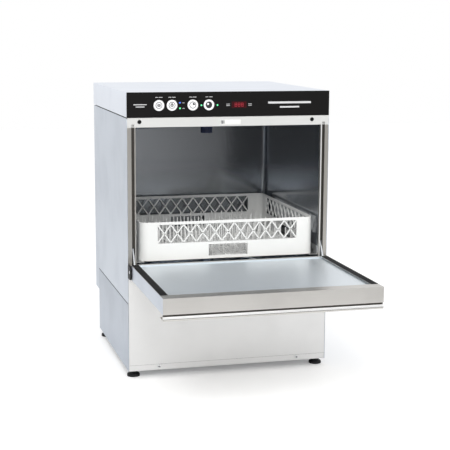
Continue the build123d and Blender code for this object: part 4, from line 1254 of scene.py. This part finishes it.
    def lamps(self) -> None:
        """Make the domed indicator lamps, the first one blue and the others green."""
        low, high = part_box("indicator_lights")
        left, bottom = low.x + self.lamp_r, low.z + self.lamp_r
        middle_z = bottom + self.right_lamp_rise
        places = (
            (left, high.z - self.lamp_r), (left, bottom),
            (left + self.third_lamp_x, middle_z), (high.x - self.lamp_r, middle_z),
        )
        for index, (x, z) in enumerate(places):
            middle = Vector((x, (low.y + high.y) / 2, z))
            lamp = round_bar(f"lamp_{index + 1}", middle, self.lamp_r, high.y - low.y, sides=32)
            soften(lamp, self.lamp_edge, 3)
            finish = LAMP_BLUE if index == 0 else LAMP_GREEN
            self.mount(lamp, "cabinet", finish, "lamp_clear", ("indicator_lights",) if index == 0 else ())

    def display(self) -> None:
        """Make the red display: a dark window with three lit figures on its face."""
        low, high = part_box("display_window")
        window = box("display_window_glass", low, high)
        soften(window, self.glass_edge)
        self.mount(window, "cabinet", DISPLAY_GLASS, "display_red", ("display_window",))
        half_w, half_h, half_line = self.figure_w / 2, self.figure_h / 2, self.figure_line / 2
        middle = (low + high) / 2
        segments = []
        for figure in (-1, 0, 1):
            x = middle.x + figure * self.figure_pitch
            for level in (-1, 0, 1):
                segments.append(self.dash(low.y, x, middle.z + level * half_h, half_w, half_line))
            for side in (-1, 1):
                segments.append(self.dash(low.y, x + side * half_w, middle.z, half_line, half_h))
        figures = join(segments, "display_figures")
        soften(figures, self.print_t / 2, 1)
        self.mount(figures, "cabinet", DISPLAY_LIT, "display_red")

    def printing(self) -> None:
        """Print plain dashes by the controls and a blank badge at the right."""
        low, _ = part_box("control_fascia")
        places = []
        for node in self.marks:
            near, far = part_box(node)
            x, z = (near.x + far.x) / 2, far.z + self.label_rise
            places.extend((x + offset, z, half, self.label_half) for offset, half in self.label_words)
        near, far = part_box("display_window")
        z = (near.z + far.z) / 2
        for x in (near.x - 10 * MM, far.x + 10 * MM):
            places.extend((x, z + rise, 5 * MM, self.dash_half) for rise in (-2 * MM, 2 * MM))
        x = low.x + self.left_lines_x
        places.extend((x, z + rise, half, self.left_half) for rise, half in self.left_lines)
        near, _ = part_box("indicator_lights")
        x = near.x + 12 * MM
        places.extend((x, near.z + rise, 3 * MM, self.dash_half) for rise in (17.1 * MM, self.lamp_r))
        dashes = join([self.dash(low.y, *place) for place in places], "fascia_dashes")
        soften(dashes, self.print_t / 2, 1)
        self.mount(dashes, "cabinet", PRINT_WHITE, "fascia_black")
        badge = join([self.dash(low.y, *place) for place in self.badge], "badge_bars")
        soften(badge, self.print_t / 2, 1)
        self.mount(badge, "cabinet", PRINT_WHITE, "fascia_black")


@dataclass
class Inside(Assembly):
    """The chamber, arms, tank and machinery, which keep the frame's shapes, and the arm knobs."""

    knob_edge: float = 1.2 * MM
    finishes: dict[str, Finish] = field(
        default_factory=lambda: {
            "wash_chamber": STEEL_CHAMBER, "wash_tank": STEEL_CHAMBER, "rack_guides": STEEL_BRIGHT,
            "lower_arm_pedestal": STEEL_POLISHED, "upper_arm_manifold": STEEL_POLISHED,
            "lower_wash_arm": STEEL_POLISHED, "lower_rinse_arm": STEEL_POLISHED,
            "upper_wash_arm": STEEL_POLISHED, "upper_rinse_arm": STEEL_POLISHED,
            "tank_filter": STEEL_POLISHED, "sump_strainer": STEEL_POLISHED, "overflow_pipe": STEEL_POLISHED,
            "booster_tank": STEEL_POLISHED, "base_tray": GALVANISED, "control_back_plate": GALVANISED,
            "electrical_box": GALVANISED, "tank_heater": GALVANISED, "booster_heater": GALVANISED,
            "door_springs": SPRING_STEEL, "cable_gland": BLACK_PLASTIC, "door_switch": BLACK_PLASTIC,
            "contactors": BLACK_PLASTIC, "wash_pump_casing": PUMP_PLASTIC, "pump_impeller": PUMP_PLASTIC,
            "drain_pump": PUMP_PLASTIC, "wash_pump_motor": MOTOR_CAST, "pump_hoses": HOSE_RUBBER,
            "inlet_valve": VALVE_PLASTIC, "dosing_pumps": VALVE_PLASTIC, "control_board": BOARD_GREEN,
        }
    )

    def build(self) -> None:
        """Dress the nodes that stay as they are and make the arm knobs."""
        for node, finish in self.finishes.items():
            self.paints.dress(bpy.data.objects[node], finish)
            LOG.info("%s keeps its shape", node)
        knobs = self.rounded("arm_knobs", "arm_knob_pair", self.knob_edge, 3)
        self.mount(knobs, "cabinet", BLUE_PLASTIC, "blue_plastic", ("arm_knobs",))


@dataclass
class Studio(Assembly):
    """The pale floor, soft lights, surroundings and camera.

    A row of dark_zone holds an axis, the directions where the dark starts and is full, and how much of the
    white is always taken.
    """

    camera_at: Point = (-0.8524, -3.1857, 0.9651)
    yaw: float = 15.07
    pitch: float = 9.55
    roll: float = 0.30
    lens: float = 94.5
    sensor: float = 36.0
    lights: tuple = (("key", (-1.2, -3.0, 2.6), 1.8, 80), ("fill", (2.4, -2.2, 1.8), 1.6, 18))
    aim: Point = (0.0, 0.0, 0.5)
    floor_low: Point = (-6.0, -2.1, -5 * MM)
    floor_high: Point = (6.0, 8.0, 0.0)
    floor_lift: float = 0.19
    white: float = 1.0
    sky: float = 0.92
    darkness: float = 0.95
    dark_zone: tuple = (
        (Axis.Y, -0.35, -0.85, 0.0), (Axis.Z, 0.30, 0.02, 0.0),
        (Axis.X, 0.12, 0.30, 0.5), (Axis.X, 0.10, -0.10, 0.5),
    )

    def build(self) -> None:
        """Set up the floor, the lights, the surroundings and the camera."""
        self.floor()
        for name, place, size, power in self.lights:
            self.light(name, place, size, power)
        self.surroundings()
        self.camera()
        bpy.context.scene.view_settings.view_transform = "Standard"

    def camera(self) -> None:
        """Set up the camera, which looks along Y before it is turned."""
        data = bpy.data.cameras.new("camera")
        data.lens = self.lens
        data.sensor_width = self.sensor
        camera = bpy.data.objects.new("camera", data)
        bpy.context.scene.collection.objects.link(camera)
        turn = Matrix.Rotation(math.radians(-self.yaw), 4, "Z")
        tilt = Matrix.Rotation(math.radians(90 - self.pitch), 4, "X")
        roll = Matrix.Rotation(math.radians(self.roll), 4, "Z")
        camera.matrix_world = Matrix.Translation(self.camera_at) @ turn @ tilt @ roll
        bpy.context.scene.camera = camera

    def surroundings(self) -> None:
        """Make the white surroundings, darker low in front, so that polished steel shows a dark side."""
        world = bpy.data.worlds.new("studio")
        world.use_nodes = True
        tree = NodeTree(world.node_tree)
        background = world.node_tree.nodes["Background"]
        background.inputs["Color"].default_value = (1.0, 1.0, 1.0, 1)
        parts = tree.add("SeparateXYZ")
        tree.join(tree.add("TexCoord").outputs["Generated"], parts.inputs[0])
        ramps = []
        for axis, start, end, least in self.dark_zone:
            ramp = tree.add("MapRange", interpolation_type="SMOOTHSTEP")
            for label, value in (("From Min", start), ("From Max", end), ("To Min", least)):
                ramp.inputs[label].default_value = value
            tree.join(parts.outputs[axis.value], ramp.inputs["Value"])
            ramps.append(ramp.outputs[0])
        low_front = tree.maths("MULTIPLY", ramps[0], ramps[1])
        share = tree.maths("MULTIPLY", low_front, tree.maths("MAXIMUM", ramps[2], ramps[3]))
        dark = tree.maths("MULTIPLY", share, self.darkness)
        lit = tree.maths("MULTIPLY", tree.maths("SUBTRACT", 1.0, dark), self.sky)
        seen = tree.add("LightPath").outputs["Is Camera Ray"]
        extra = tree.maths("MULTIPLY", tree.maths("SUBTRACT", self.white, lit), seen)
        tree.join(tree.maths("ADD", lit, extra), background.inputs["Strength"])
        bpy.context.scene.world = world

    def floor(self) -> None:
        """Make the floor, which glows a little to the camera, so that it runs into the white."""
        ground = box("studio_floor", self.floor_low, self.floor_high)
        self.paints.dress(ground, FLOOR_PALE)
        tree = NodeTree(ground.data.materials[0].node_tree)
        shader = tree.tree.nodes["Principled BSDF"]
        shader.inputs["Emission Color"].default_value = (1.0, 1.0, 1.0, 1.0)
        seen = tree.add("LightPath").outputs["Is Camera Ray"]
        tree.join(tree.maths("MULTIPLY", seen, self.floor_lift), shader.inputs["Emission Strength"])
        ground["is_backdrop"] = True

    def light(self, name: str, place: Point, size: float, power: float) -> None:
        """Add a square soft light.

        Args:
            name: The light's name.
            place: Where it is.
            size: The length of its sides.
            power: Its power in watts.
        """
        data = bpy.data.lights.new(name, "AREA")
        data.size = size
        data.energy = power
        lamp = bpy.data.objects.new(name, data)
        bpy.context.scene.collection.objects.link(lamp)
        facing = (Vector(self.aim) - Vector(place)).to_track_quat("-Z", "Y")
        lamp.matrix_world = Matrix.Translation(place) @ facing.to_matrix().to_4x4()


def main() -> list[list[float]]:
    """Load the frame and build every sub-assembly in order.

    Returns:
        The frame's own box, as plain lists.
    """
    logging.basicConfig(level=logging.INFO, format="%(name)s: %(message)s")
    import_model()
    frame_box = [list(corner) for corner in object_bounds()]
    paints = Paints()
    for kind in (Cabinet, DoorFrame, Door, Rack, ControlPanel, Inside, Studio):
        LOG.info("building %s", kind.__name__)
        kind(paints).build()
    return frame_box


if __name__ == "__main__":
    box_of_frame = main()
